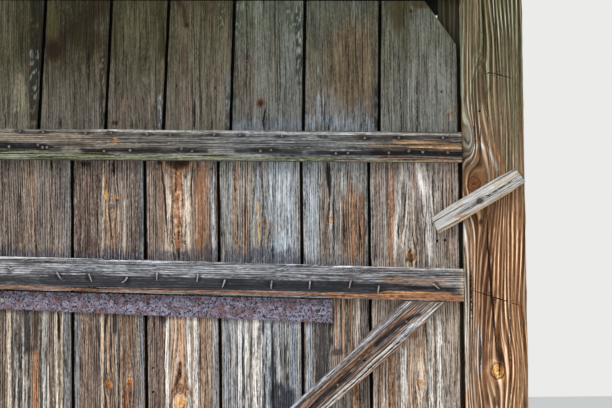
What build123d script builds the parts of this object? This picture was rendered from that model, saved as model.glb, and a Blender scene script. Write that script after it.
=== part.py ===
from build123d import *
import os
from math import atan2, cos, degrees, sin

# Plank door of a log barn, hung on pintles in a frame of squared posts. Sizes are millimetres.
# X runs across the doorway from its middle, Y away from the viewer from the boards' front
# faces, and Z up from the underside of the sill.

# Leaf of two rows of lapped boards
LEAF_WIDTH = 1107
LEAF_HEIGHT = 1832.5
LEAF_TOP_SAG = 12.5
BOARD_THICKNESS = 26
BOARD_GAP = 5
LAP = 8
TONGUE_GAP = 2
BUTT_GAP = 2
UPPER_BOARD_WIDTHS = [118, 125.5, 137.5, 119.5, 138, 150, 156, 162.5]
UPPER_JOINT_LEANS = [13, 17, 15.5, 14, 11.5, 7, 6]
LOWER_BOARD_WIDTHS = [158, 156, 148.5, 151.5, 170.5, 138.5, 184]
LOWER_JOINT_DRIFTS = [3, 3, 8, 6, -2, 1]
LOWER_EDGE_SHRINK = 5
CORNER_CUT_WIDTH = 64.5
CORNER_CUT_HEIGHT = 90
CORNER_CUT_BOW = 2

# Battens and brace, nailed on the boards' front
BATTEN_THICKNESS = 28
BATTEN_SHORT_OF_FRAME = 2
UPPER_BATTEN_HEIGHT = 62
UPPER_BATTEN_DROP = 299.5
UPPER_BATTEN_SAG = 18
MIDDLE_BATTEN_LEFT_HEIGHT = 68
MIDDLE_BATTEN_RIGHT_HEIGHT = 67
MIDDLE_BATTEN_DROP = 558.5
MIDDLE_BATTEN_SAG = 40.5
LOWER_BATTEN_HEIGHT = 62
LOWER_BATTEN_RISE = 292
LOWER_BATTEN_SAG = 14
BRACE_WIDTH = 58
BRACE_UPPER_EDGE = [[-0.05, 0.52], [0.03, 0.57], [0.075, 0.645], [0.1, 0.6], [0.135, 0.5],
                    [0.155, 0.5], [0.185, 0.55], [0.27, 0.535], [0.45, 0.48], [0.62, 0.535],
                    [0.8, 0.48], [1.05, 0.52]]
BRACE_LOWER_EDGE = [[-0.05, 0.465], [0.03, 0.475], [0.11, 0.51], [0.155, 0.455], [0.2, 0.415],
                    [0.24, 0.355], [0.34, 0.38], [0.5, 0.43], [0.68, 0.38], [0.85, 0.45],
                    [1.05, 0.415]]
BRACE_TOP_INSET = 67
BRACE_BOTTOM_INSET = 62
BRACE_END_GAP = 1.5

# Cut nails, two or more in each board: a share of the board's width between the nail margins,
# then a share of the way down the batten
NAIL_SIZE = 4
NAIL_PLAY = 0.1
NAIL_LENGTH = 50
NAIL_HEAD_RADIUS = 3.3
NAIL_HEAD_HEIGHT = 1.6
NAIL_HEAD_SIDES = 8
NAIL_FROM_JOINT = 10
CLINCH_LENGTH = 19
CLINCH_HEIGHT = 2.4
CLINCH_TIP = 1.6
UPPER_ROW_SHARES = [
    [[0.197, 0.12], [0.829, 0.14]],
    [[0.181, 0.13], [0.782, 0.07]],
    [[0.033, 0.1], [0.772, 0.13]],
    [[0.053, 0.12], [0.792, 0.15]],
    [[0.053, 0.17], [0.814, 0.15]],
    [[0.085, 0.16], [0.745, 0.18]],
    [[0.225, 0.19], [0.854, 0.23]],
    [[0.207, 0.21], [0.838, 0.2]],
]
LOWER_ROW_SHARES = [
    [[0.214, 0.66], [0.729, 0.62]],
    [[0.158, 0.6], [0.593, 0.53], [0.66, 0.61], [0.727, 0.61]],
    [[0.459, 0.72], [0.871, 0.69]],
    [[0.52, 0.62], [0.683, 0.7]],
    [[0.517, 0.68], [0.66, 0.65]],
    [[0.516, 0.75], [0.722, 0.73]],
    [[0.186, 0.72], [0.435, 0.65], [0.609, 0.68], [0.919, 0.69]],
]
CLINCHED_ROW_SHARES = [
    [[0.27, 0.48], [0.795, 0.5]],
    [[0.14, 0.32], [0.871, 0.46]],
    [[0.212, 0.47], [0.808, 0.53]],
    [[0.122, 0.38], [0.756, 0.38]],
    [[0.018, 0.54], [0.657, 0.53]],
    [[0.05, 0.5], [0.749, 0.44]],
    [[0.041, 0.6], [0.714, 0.49]],
]
CLINCH_TURNS = [15, -10, 27, 29, 18, -14, -8, -6, -18, -14, 0, -14, -12, 58]
BRACE_NAIL_SHARES = [0.046, 0.19, 0.32, 0.456, 0.593, 0.73, 0.86, 0.958]
BRACE_EMPTY_HOLE_SHARE = 0.133

# Long strap hinges with rolled eyes, on pintles driven into the left post
STRAP_WIDTH = 48
STRAP_EYE_WIDTH = 34
STRAP_THICKNESS = 6
STRAP_SHORT_OF_BRACE = 195
STRAP_BELOW_MIDDLE_BATTEN = 3
STRAP_BELOW_LOWER_BATTEN = 8
PIN_RADIUS = 7
PIN_PLAY = 0.25
PIN_STICKS_UP = 8
EYE_LIFT = 0.5
AXIS_OUT_OF_LEAF = 32.5
PINTLE_SHANK = 14
PINTLE_LENGTH = 105
PINTLE_TAPER = 45
PINTLE_TIP = 4
BOLT_RADIUS = 4
BOLT_PLAY = 0.15
BOLT_HEAD_RADIUS = 5.5
BOLT_HEAD_HEIGHT = 3
BOLT_SIDES = 12
BOLT_NUT_SIZE = 14
BOLT_NUT_HEIGHT = 6
BOLT_SHARES = [0.071, 0.204, 0.875]
EMPTY_HOLE_SHARE = 0.966

# Frame of squared posts with tenoned and pegged corners
POST_WIDTH = 129
FRAME_DEPTH = 140
FRAME_PROUD = 4
HINGE_POST_SETBACK = 2
SIDE_GAP = 7.5
HEAD_GAP = 8
SILL_GAP = 10
SILL_HEIGHT = 110
HEAD_HEIGHT = 130
TENON_THICKNESS = 45
TENON_WIDTH = 80
TENON_LENGTH = 70
TENON_PLAY = 0.3
GROOVE_WIDTH = 50
GROOVE_DEPTH = 35
PEG_RADIUS = 9
PEG_PLAY = 0.1
PEG_SIDES = 8
STOP_REACH = 43
STOP_THICKNESS = 25
STOP_GAP = 0.5
STOP_NAIL_GRIP = 30
STOP_NAIL_SHARES = [0.06, 0.33, 0.6, 0.94]

# Turn button on the latch post
BUTTON_LEFT_REACH = 103.5
BUTTON_RIGHT_REACH = 99
BUTTON_ABOVE_PIVOT = 22
BUTTON_BELOW_PIVOT = 17.5
BUTTON_END_SKEW = 4
BUTTON_CORNER_WEAR = 2.5
BUTTON_WEAR_REACH = 35
BUTTON_THICKNESS = 18
BUTTON_SLACK = 0.3
BUTTON_TILT = 30
BUTTON_FROM_OPENING = 32.5
BUTTON_BELOW_LEAF_TOP = 427.3
BUTTON_NAIL_RADIUS = 2.75
BUTTON_NAIL_PLAY = 0.25
BUTTON_NAIL_GRIP = 60
BUTTON_NAIL_HEAD_RADIUS = 5
BUTTON_NAIL_HEAD_HEIGHT = 2.5

# Places worked out from the sizes above
LEAF_LEFT = -LEAF_WIDTH / 2
LEAF_RIGHT = LEAF_WIDTH / 2
LEAF_BOTTOM = SILL_HEIGHT + SILL_GAP
LEAF_TOP = LEAF_BOTTOM + LEAF_HEIGHT
OPENING_HALF = LEAF_WIDTH / 2 + SIDE_GAP
FRAME_HALF = OPENING_HALF + POST_WIDTH
FRAME_FRONT = -FRAME_PROUD
FRAME_BACK = FRAME_FRONT + FRAME_DEPTH
FRAME_MIDDLE = (FRAME_FRONT + FRAME_BACK) / 2
HEAD_BOTTOM = LEAF_TOP + HEAD_GAP
HEAD_TOP = HEAD_BOTTOM + HEAD_HEIGHT
BATTEN_RIGHT = OPENING_HALF - BATTEN_SHORT_OF_FRAME
LAP_FACE = BOARD_THICKNESS / 2
NAIL_HOLE = NAIL_SIZE + 2 * NAIL_PLAY
NAIL_TIP = NAIL_LENGTH - BATTEN_THICKNESS
EYE_RADIUS = PIN_RADIUS + PIN_PLAY + STRAP_THICKNESS
AXIS_X = LEAF_LEFT - AXIS_OUT_OF_LEAF
AXIS_Y = -EYE_RADIUS
BOLT_HOLE_RADIUS = BOLT_RADIUS + BOLT_PLAY


def at_y(y):
    """Upright plane facing the viewer at depth y; what is extruded from it comes forward."""
    return Plane.XZ.offset(-y)


def level(x, left_height, sag):
    """Height at x of a line that falls by sag from the leaf's left edge to the battens' end."""
    return left_height - sag * (x - LEAF_LEFT) / (BATTEN_RIGHT - LEAF_LEFT)


def leaf_top(x):
    return level(x, LEAF_TOP, LEAF_TOP_SAG)


def upper_batten_middle(x):
    return level(x, LEAF_TOP - UPPER_BATTEN_DROP, UPPER_BATTEN_SAG)


def upper_batten_top(x):
    return upper_batten_middle(x) + UPPER_BATTEN_HEIGHT / 2


def upper_batten_bottom(x):
    return upper_batten_middle(x) - UPPER_BATTEN_HEIGHT / 2


def middle_batten_top(x):
    widening = (MIDDLE_BATTEN_RIGHT_HEIGHT - MIDDLE_BATTEN_LEFT_HEIGHT) / 2
    start = LEAF_TOP - MIDDLE_BATTEN_DROP + MIDDLE_BATTEN_LEFT_HEIGHT / 2
    return level(x, start, MIDDLE_BATTEN_SAG - widening)


def middle_batten_bottom(x):
    widening = (MIDDLE_BATTEN_RIGHT_HEIGHT - MIDDLE_BATTEN_LEFT_HEIGHT) / 2
    start = LEAF_TOP - MIDDLE_BATTEN_DROP - MIDDLE_BATTEN_LEFT_HEIGHT / 2
    return level(x, start, MIDDLE_BATTEN_SAG + widening)


def lower_batten_middle(x):
    return level(x, LEAF_BOTTOM + LOWER_BATTEN_RISE, LOWER_BATTEN_SAG)


def lower_batten_top(x):
    return lower_batten_middle(x) + LOWER_BATTEN_HEIGHT / 2


def lower_batten_bottom(x):
    return lower_batten_middle(x) - LOWER_BATTEN_HEIGHT / 2


def board_edges(widths):
    """Places of a row's joints, its boards stretched alike to fill the leaf."""
    stretch = LEAF_WIDTH / sum(widths)
    edges = [LEAF_LEFT]
    for width in widths:
        edges.append(edges[-1] + width * stretch)
    return edges


UPPER_EDGES = board_edges(UPPER_BOARD_WIDTHS)
LOWER_EDGES = board_edges(LOWER_BOARD_WIDTHS)


UPPER_DRIFTS = [0] + UPPER_JOINT_LEANS + [0]
LOWER_DRIFTS = [0] + LOWER_JOINT_DRIFTS + [-LOWER_EDGE_SHRINK]


def nail_places(edges, drifts, rows, top, bottom, far_end):
    """Nail points, each a share of the way between its board's joints and down its batten."""
    places = []
    for number, row in enumerate(rows):
        for share, depth in row:
            start = upper_batten_middle(edges[number])
            height = top(edges[number]) + (bottom(edges[number]) - top(edges[number])) * depth
            drifted = (start - height) / (start - far_end)
            left = edges[number] + drifts[number] * drifted + NAIL_FROM_JOINT
            right = edges[number + 1] + drifts[number + 1] * drifted - NAIL_FROM_JOINT
            x = left + share * (right - left)
            places.append((x, top(x) + (bottom(x) - top(x)) * depth))
    return places


UPPER_ROW = nail_places(
    UPPER_EDGES, UPPER_DRIFTS, UPPER_ROW_SHARES, upper_batten_top, upper_batten_bottom, LEAF_TOP
)
LOWER_ROW = nail_places(
    LOWER_EDGES, LOWER_DRIFTS, LOWER_ROW_SHARES, upper_batten_top, upper_batten_bottom,
    LEAF_BOTTOM,
)
CLINCHED_ROW = nail_places(
    LOWER_EDGES, LOWER_DRIFTS, CLINCHED_ROW_SHARES, middle_batten_top, middle_batten_bottom,
    LEAF_BOTTOM,
)
BOTTOM_ROW = nail_places(
    LOWER_EDGES, LOWER_DRIFTS, CLINCHED_ROW_SHARES, lower_batten_top, lower_batten_bottom,
    LEAF_BOTTOM,
)

# Brace from its top cut under the middle batten to its foot on the lower batten
BRACE_TOP_X = LEAF_RIGHT - BRACE_TOP_INSET
BRACE_TOP_Z = middle_batten_bottom(BRACE_TOP_X) - BRACE_END_GAP
BRACE_FOOT_X = LEAF_LEFT + BRACE_BOTTOM_INSET
BRACE_FOOT_Z = lower_batten_top(BRACE_FOOT_X) + BRACE_END_GAP
BRACE_ANGLE = atan2(BRACE_TOP_Z - BRACE_FOOT_Z, BRACE_TOP_X - BRACE_FOOT_X)
BRACE_LENGTH = (BRACE_TOP_X - BRACE_FOOT_X) / cos(BRACE_ANGLE)


def brace_place(along, across=0):
    """Point at a share of the brace's length down from its top and of its width above it."""
    run = along * BRACE_LENGTH
    rise = across * BRACE_WIDTH
    return (
        BRACE_TOP_X - run * cos(BRACE_ANGLE) - rise * sin(BRACE_ANGLE),
        BRACE_TOP_Z - run * sin(BRACE_ANGLE) + rise * cos(BRACE_ANGLE),
    )


BRACE_NAILS = [brace_place(share) for share in BRACE_NAIL_SHARES]
BRACE_EMPTY_HOLE = brace_place(BRACE_EMPTY_HOLE_SHARE)


STRAP_END = BRACE_TOP_X - STRAP_SHORT_OF_BRACE
STRAP_REACH = STRAP_END - LEAF_LEFT


def strap_half(x):
    """Half the strap's height at x; it widens from its eye to its free end."""
    share = (x - AXIS_X) / (STRAP_END - AXIS_X)
    return (STRAP_EYE_WIDTH + (STRAP_WIDTH - STRAP_EYE_WIDTH) * share) / 2


def upper_strap_middle(x):
    return middle_batten_bottom(x) - STRAP_BELOW_MIDDLE_BATTEN - strap_half(x)


def lower_strap_middle(x):
    return lower_batten_bottom(x) - STRAP_BELOW_LOWER_BATTEN - strap_half(x)


def strap_places(shares, height):
    """Points on a strap's middle line, at shares of its reach over the leaf."""
    across = [LEAF_LEFT + share * STRAP_REACH for share in shares]
    return [(x, height(x)) for x in across]


UPPER_BOLTS = strap_places(BOLT_SHARES, upper_strap_middle)
LOWER_BOLTS = strap_places(BOLT_SHARES, lower_strap_middle)
EMPTY_STRAP_HOLE = strap_places([EMPTY_HOLE_SHARE], upper_strap_middle)

os.makedirs("parts", exist_ok=True)

# Upper boards, butting on the lower ones behind the upper batten
for number in range(len(UPPER_BOARD_WIDTHS)):
    last = number == len(UPPER_BOARD_WIDTHS) - 1
    sides = []
    for back in (False, True):
        left, right = UPPER_EDGES[number], UPPER_EDGES[number + 1]
        if number > 0:
            left += LAP + TONGUE_GAP / 2 if back else BOARD_GAP / 2
        if not last:
            right += LAP - TONGUE_GAP / 2 if back else -BOARD_GAP / 2
        sides.append((left, right, back))
    with BuildPart() as board:
        for left, right, back in sides:
            low_left = upper_batten_middle(left) + BUTT_GAP / 2
            low_right = upper_batten_middle(right) + BUTT_GAP / 2
            top_left_x = left + UPPER_DRIFTS[number]
            top_right_x = right + UPPER_DRIFTS[number + 1]
            top_left = (top_left_x, leaf_top(top_left_x))
            top_right = (top_right_x, leaf_top(top_right_x))
            with BuildSketch(at_y(BOARD_THICKNESS if back else LAP_FACE)):
                with BuildLine():
                    Polyline((left, low_left), top_left, top_right, (right, low_right), close=True)
                make_face()
            extrude(amount=LAP_FACE)
        if last:
            start_x = LEAF_RIGHT - CORNER_CUT_WIDTH
            start = (start_x, leaf_top(start_x))
            end = (LEAF_RIGHT, leaf_top(LEAF_RIGHT) - CORNER_CUT_HEIGHT)
            reach = (CORNER_CUT_WIDTH**2 + CORNER_CUT_HEIGHT**2) ** 0.5
            middle = (
                (start[0] + end[0]) / 2 + CORNER_CUT_BOW * CORNER_CUT_HEIGHT / reach,
                (start[1] + end[1]) / 2 + CORNER_CUT_BOW * CORNER_CUT_WIDTH / reach,
            )
            with BuildSketch(at_y(BOARD_THICKNESS)):
                with BuildLine():
                    ThreePointArc(start, middle, end)
                    Polyline(end, (LEAF_RIGHT, LEAF_TOP), start)
                make_face()
            extrude(amount=BOARD_THICKNESS, mode=Mode.SUBTRACT)
        reach_left = UPPER_EDGES[number] - NAIL_HOLE
        reach_right = UPPER_EDGES[number + 1] + LAP + NAIL_HOLE
        with BuildSketch(at_y(NAIL_TIP + NAIL_PLAY)):
            with Locations(*[p for p in UPPER_ROW if reach_left < p[0] < reach_right]):
                Rectangle(NAIL_HOLE, NAIL_HOLE)
        extrude(amount=NAIL_TIP + NAIL_PLAY, mode=Mode.SUBTRACT)
    board.part.label = f"upper_board_{number + 1}"
    export_step(board.part, f"parts/upper_board_{number + 1}.step")

# Lower boards, from behind the upper batten to the leaf's foot
for number in range(len(LOWER_BOARD_WIDTHS)):
    drifts = LOWER_DRIFTS
    last = number == len(LOWER_BOARD_WIDTHS) - 1
    sides = []
    for back in (False, True):
        left, right = LOWER_EDGES[number], LOWER_EDGES[number + 1]
        if number > 0:
            left += LAP + TONGUE_GAP / 2 if back else BOARD_GAP / 2
        if not last:
            right += LAP - TONGUE_GAP / 2 if back else -BOARD_GAP / 2
        sides.append((left, right, back))
    with BuildPart() as board:
        for left, right, back in sides:
            top_left = (left, upper_batten_middle(left) - BUTT_GAP / 2)
            top_right = (right, upper_batten_middle(right) - BUTT_GAP / 2)
            foot_left = (left + drifts[number], LEAF_BOTTOM)
            foot_right = (right + drifts[number + 1], LEAF_BOTTOM)
            with BuildSketch(at_y(BOARD_THICKNESS if back else LAP_FACE)):
                with BuildLine():
                    Polyline(foot_left, top_left, top_right, foot_right, close=True)
                make_face()
            extrude(amount=LAP_FACE)
        reach_left = LOWER_EDGES[number] - NAIL_HOLE - abs(drifts[number])
        reach_right = LOWER_EDGES[number + 1] + LAP + NAIL_HOLE + abs(drifts[number + 1])
        for nails, depth in (
            (LOWER_ROW + BRACE_NAILS, NAIL_TIP + NAIL_PLAY),
            (CLINCHED_ROW + BOTTOM_ROW, BOARD_THICKNESS),
        ):
            with BuildSketch(at_y(depth)):
                with Locations(*[p for p in nails if reach_left < p[0] < reach_right]):
                    Rectangle(NAIL_HOLE, NAIL_HOLE)
            extrude(amount=depth, mode=Mode.SUBTRACT)
        bolts = UPPER_BOLTS + LOWER_BOLTS
        bolt_holes = [p for p in bolts if reach_left < p[0] < reach_right]
        if bolt_holes:
            with BuildSketch(at_y(BOARD_THICKNESS)):
                with Locations(*bolt_holes):
                    Circle(BOLT_HOLE_RADIUS)
            extrude(amount=BOARD_THICKNESS, mode=Mode.SUBTRACT)
    board.part.label = f"lower_board_{number + 1}"
    export_step(board.part, f"parts/lower_board_{number + 1}.step")

# Upper batten, with its two rows of nails
with BuildPart() as upper_batten:
    with BuildSketch(at_y(0)):
        with BuildLine():
            Polyline(
                (LEAF_LEFT, upper_batten_bottom(LEAF_LEFT)),
                (LEAF_LEFT, upper_batten_top(LEAF_LEFT)),
                (BATTEN_RIGHT, upper_batten_top(BATTEN_RIGHT)),
                (BATTEN_RIGHT, upper_batten_bottom(BATTEN_RIGHT)),
                close=True,
            )
        make_face()
        with Locations(*UPPER_ROW, *LOWER_ROW):
            Rectangle(NAIL_HOLE, NAIL_HOLE, mode=Mode.SUBTRACT)
    extrude(amount=BATTEN_THICKNESS)
upper_batten.part.label = "upper_batten"
export_step(upper_batten.part, "parts/upper_batten.step")

# Middle batten, wider towards the latch side
with BuildPart() as middle_batten:
    with BuildSketch(at_y(0)):
        with BuildLine():
            Polyline(
                (LEAF_LEFT, middle_batten_bottom(LEAF_LEFT)),
                (LEAF_LEFT, middle_batten_top(LEAF_LEFT)),
                (BATTEN_RIGHT, middle_batten_top(BATTEN_RIGHT)),
                (BATTEN_RIGHT, middle_batten_bottom(BATTEN_RIGHT)),
                close=True,
            )
        make_face()
        with Locations(*CLINCHED_ROW):
            Rectangle(NAIL_HOLE, NAIL_HOLE, mode=Mode.SUBTRACT)
    extrude(amount=BATTEN_THICKNESS)
middle_batten.part.label = "middle_batten"
export_step(middle_batten.part, "parts/middle_batten.step")

# Lower batten
with BuildPart() as lower_batten:
    with BuildSketch(at_y(0)):
        with BuildLine():
            Polyline(
                (LEAF_LEFT, lower_batten_bottom(LEAF_LEFT)),
                (LEAF_LEFT, lower_batten_top(LEAF_LEFT)),
                (BATTEN_RIGHT, lower_batten_top(BATTEN_RIGHT)),
                (BATTEN_RIGHT, lower_batten_bottom(BATTEN_RIGHT)),
                close=True,
            )
        make_face()
        with Locations(*BOTTOM_ROW):
            Rectangle(NAIL_HOLE, NAIL_HOLE, mode=Mode.SUBTRACT)
    extrude(amount=BATTEN_THICKNESS)
lower_batten.part.label = "lower_batten"
export_step(lower_batten.part, "parts/lower_batten.step")

# Brace with wavy edges, its ends cut along the battens that it stands between
upper_edge = [brace_place(along, across) for along, across in BRACE_UPPER_EDGE]
lower_edge = [brace_place(along, -across) for along, across in BRACE_LOWER_EDGE]
with BuildPart() as brace:
    with BuildSketch(at_y(0)):
        with BuildLine():
            Polyline(*upper_edge, *lower_edge[::-1], close=True)
        make_face()
        with BuildLine():
            Polyline(
                (LEAF_LEFT, lower_batten_top(LEAF_LEFT) + BRACE_END_GAP),
                (LEAF_LEFT, middle_batten_bottom(LEAF_LEFT) - BRACE_END_GAP),
                (LEAF_RIGHT, middle_batten_bottom(LEAF_RIGHT) - BRACE_END_GAP),
                (LEAF_RIGHT, lower_batten_top(LEAF_RIGHT) + BRACE_END_GAP),
                close=True,
            )
        make_face(mode=Mode.INTERSECT)
        with Locations(*BRACE_NAILS, BRACE_EMPTY_HOLE):
            Rectangle(NAIL_HOLE, NAIL_HOLE, mode=Mode.SUBTRACT)
    extrude(amount=BATTEN_THICKNESS)
brace.part.label = "brace"
export_step(brace.part, "parts/brace.step")


BATTEN_FRONT = -BATTEN_THICKNESS

# Nails with rough round heads and square shanks, driven from the front
for name, places in (
    ("upper_batten_nails", UPPER_ROW + LOWER_ROW),
    ("brace_nails", BRACE_NAILS),
):
    with BuildPart() as nails:
        with BuildSketch(at_y(BATTEN_FRONT)):
            with Locations(*places):
                RegularPolygon(NAIL_HEAD_RADIUS, NAIL_HEAD_SIDES)
        extrude(amount=NAIL_HEAD_HEIGHT)
        with BuildSketch(at_y(NAIL_TIP)):
            with Locations(*places):
                Rectangle(NAIL_SIZE, NAIL_SIZE)
        extrude(amount=NAIL_LENGTH)
    nails.part.label = name
    export_step(nails.part, f"parts/{name}.step")

# Longer nails driven from behind, their tips hammered over on the battens' front
for name, places, turns in (
    ("middle_batten_nails", CLINCHED_ROW, CLINCH_TURNS),
    ("lower_batten_nails", BOTTOM_ROW, CLINCH_TURNS[::-1]),
):
    with BuildPart() as nails:
        with BuildSketch(at_y(BOARD_THICKNESS + NAIL_HEAD_HEIGHT)):
            with Locations(*places):
                RegularPolygon(NAIL_HEAD_RADIUS, NAIL_HEAD_SIDES)
        extrude(amount=NAIL_HEAD_HEIGHT)
        with BuildSketch(at_y(BOARD_THICKNESS)):
            with Locations(*places):
                Rectangle(NAIL_SIZE, NAIL_SIZE)
        extrude(amount=BOARD_THICKNESS + BATTEN_THICKNESS + CLINCH_HEIGHT)
        with BuildSketch(at_y(BATTEN_FRONT)):
            for place, turn in zip(places, turns):
                with Locations(Location(place, turn)):
                    Polygon(
                        (-NAIL_SIZE / 2, NAIL_SIZE / 2),
                        (NAIL_SIZE / 2, NAIL_SIZE / 2),
                        (CLINCH_TIP / 2, NAIL_SIZE / 2 - CLINCH_LENGTH),
                        (-CLINCH_TIP / 2, NAIL_SIZE / 2 - CLINCH_LENGTH),
                        align=Align.NONE,
                    )
        extrude(amount=CLINCH_HEIGHT)
    nails.part.label = name
    export_step(nails.part, f"parts/{name}.step")

# Strap hinges: a flat bar on the boards, its end rolled into an eye
for name, height, empty_holes in (
    ("upper_strap", upper_strap_middle, EMPTY_STRAP_HOLE),
    ("lower_strap", lower_strap_middle, []),
):
    eye_middle = height(AXIS_X)
    eye_half = STRAP_EYE_WIDTH / 2
    end_half = STRAP_WIDTH / 2
    with BuildPart() as strap:
        with BuildSketch(at_y(0)):
            with BuildLine():
                Polyline(
                    (AXIS_X, eye_middle - eye_half),
                    (AXIS_X, eye_middle + eye_half),
                    (STRAP_END, height(STRAP_END) + end_half),
                    (STRAP_END, height(STRAP_END) - end_half),
                    close=True,
                )
            make_face()
        extrude(amount=STRAP_THICKNESS)
        with BuildSketch(Plane.XY.offset(eye_middle - eye_half)):
            with Locations((AXIS_X, AXIS_Y)):
                Circle(EYE_RADIUS)
        extrude(amount=STRAP_EYE_WIDTH)
        with BuildSketch(Plane.XY.offset(eye_middle - eye_half)):
            with Locations((AXIS_X, AXIS_Y)):
                Circle(PIN_RADIUS + PIN_PLAY)
        extrude(amount=STRAP_EYE_WIDTH, mode=Mode.SUBTRACT)
        with BuildSketch(at_y(0)):
            with Locations(*strap_places(BOLT_SHARES, height), *empty_holes):
                Circle(BOLT_HOLE_RADIUS)
        extrude(amount=STRAP_THICKNESS, mode=Mode.SUBTRACT)
    strap.part.label = name
    export_step(strap.part, f"parts/{name}.step")

# Strap bolts with square nuts behind the boards
for name, places in (("upper_strap_bolts", UPPER_BOLTS), ("lower_strap_bolts", LOWER_BOLTS)):
    with BuildPart() as bolts:
        with BuildSketch(at_y(-STRAP_THICKNESS)):
            with Locations(*places):
                RegularPolygon(BOLT_HEAD_RADIUS, BOLT_SIDES)
        extrude(amount=BOLT_HEAD_HEIGHT)
        with BuildSketch(at_y(BOARD_THICKNESS + BOLT_NUT_HEIGHT)):
            with Locations(*places):
                RegularPolygon(BOLT_RADIUS, BOLT_SIDES)
        extrude(amount=BOLT_NUT_HEIGHT + BOARD_THICKNESS + STRAP_THICKNESS)
        with BuildSketch(at_y(BOARD_THICKNESS + BOLT_NUT_HEIGHT)):
            with Locations(*places):
                Rectangle(BOLT_NUT_SIZE, BOLT_NUT_SIZE)
        extrude(amount=BOLT_NUT_HEIGHT)
    bolts.part.label = name
    export_step(bolts.part, f"parts/{name}.step")


def pintle_outline(eye_bottom, play):
    """Side outline of a pintle's driven shank, tapering to its tip, looking along X."""
    top = eye_bottom - EYE_LIFT
    bottom = top - PINTLE_SHANK
    nose = AXIS_Y - PINTLE_SHANK / 2
    tip = nose + PINTLE_LENGTH
    shoulder = tip - PINTLE_TAPER
    middle = (top + bottom) / 2
    return [
        (nose - play, bottom - play),
        (shoulder, bottom - play),
        (tip + play, middle - PINTLE_TIP / 2 - play),
        (tip + play, middle + PINTLE_TIP / 2 + play),
        (shoulder, top + play),
        (nose - play, top + play),
    ]


UPPER_EYE_BOTTOM = upper_strap_middle(AXIS_X) - STRAP_EYE_WIDTH / 2
LOWER_EYE_BOTTOM = lower_strap_middle(AXIS_X) - STRAP_EYE_WIDTH / 2

# Pintles: a driven shank with the hinge pin standing on it
for name, eye_bottom in (("upper_pintle", UPPER_EYE_BOTTOM), ("lower_pintle", LOWER_EYE_BOTTOM)):
    with BuildPart() as pintle:
        with BuildSketch(Plane.YZ.offset(AXIS_X - PINTLE_SHANK / 2)):
            with BuildLine():
                Polyline(*pintle_outline(eye_bottom, 0), close=True)
            make_face()
        extrude(amount=PINTLE_SHANK)
        with BuildSketch(Plane.XY.offset(eye_bottom - EYE_LIFT)):
            with Locations((AXIS_X, AXIS_Y)):
                Circle(PIN_RADIUS)
        extrude(amount=EYE_LIFT + STRAP_EYE_WIDTH + PIN_STICKS_UP)
    pintle.part.label = name
    export_step(pintle.part, f"parts/{name}.step")

PIVOT_X = OPENING_HALF + BUTTON_FROM_OPENING
PIVOT_Z = LEAF_TOP - BUTTON_BELOW_LEAF_TOP
BUTTON_BACK = FRAME_FRONT - BUTTON_SLACK
BUTTON_FRONT = BUTTON_BACK - BUTTON_THICKNESS
STOP_BACK = BOARD_THICKNESS + STOP_GAP + STOP_THICKNESS
STOP_MIDDLE = STOP_BACK - STOP_THICKNESS / 2
POST_LENGTH = HEAD_BOTTOM - SILL_HEIGHT
STOP_NAIL_HEIGHTS = [SILL_HEIGHT + POST_LENGTH * share for share in STOP_NAIL_SHARES]
POST_MIDDLE_X = OPENING_HALF + POST_WIDTH / 2 - GROOVE_DEPTH / 4
PEG_HEIGHTS = [SILL_HEIGHT - TENON_LENGTH / 2, HEAD_BOTTOM + TENON_LENGTH / 2]
PEG_PLACES = [(side * POST_MIDDLE_X, z) for side in (-1, 1) for z in PEG_HEIGHTS]
HEAD_STOP_HALF = OPENING_HALF - STOP_REACH
HEAD_STOP_NAILS = [HEAD_STOP_HALF * (2 * share - 1) for share in STOP_NAIL_SHARES]

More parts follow.
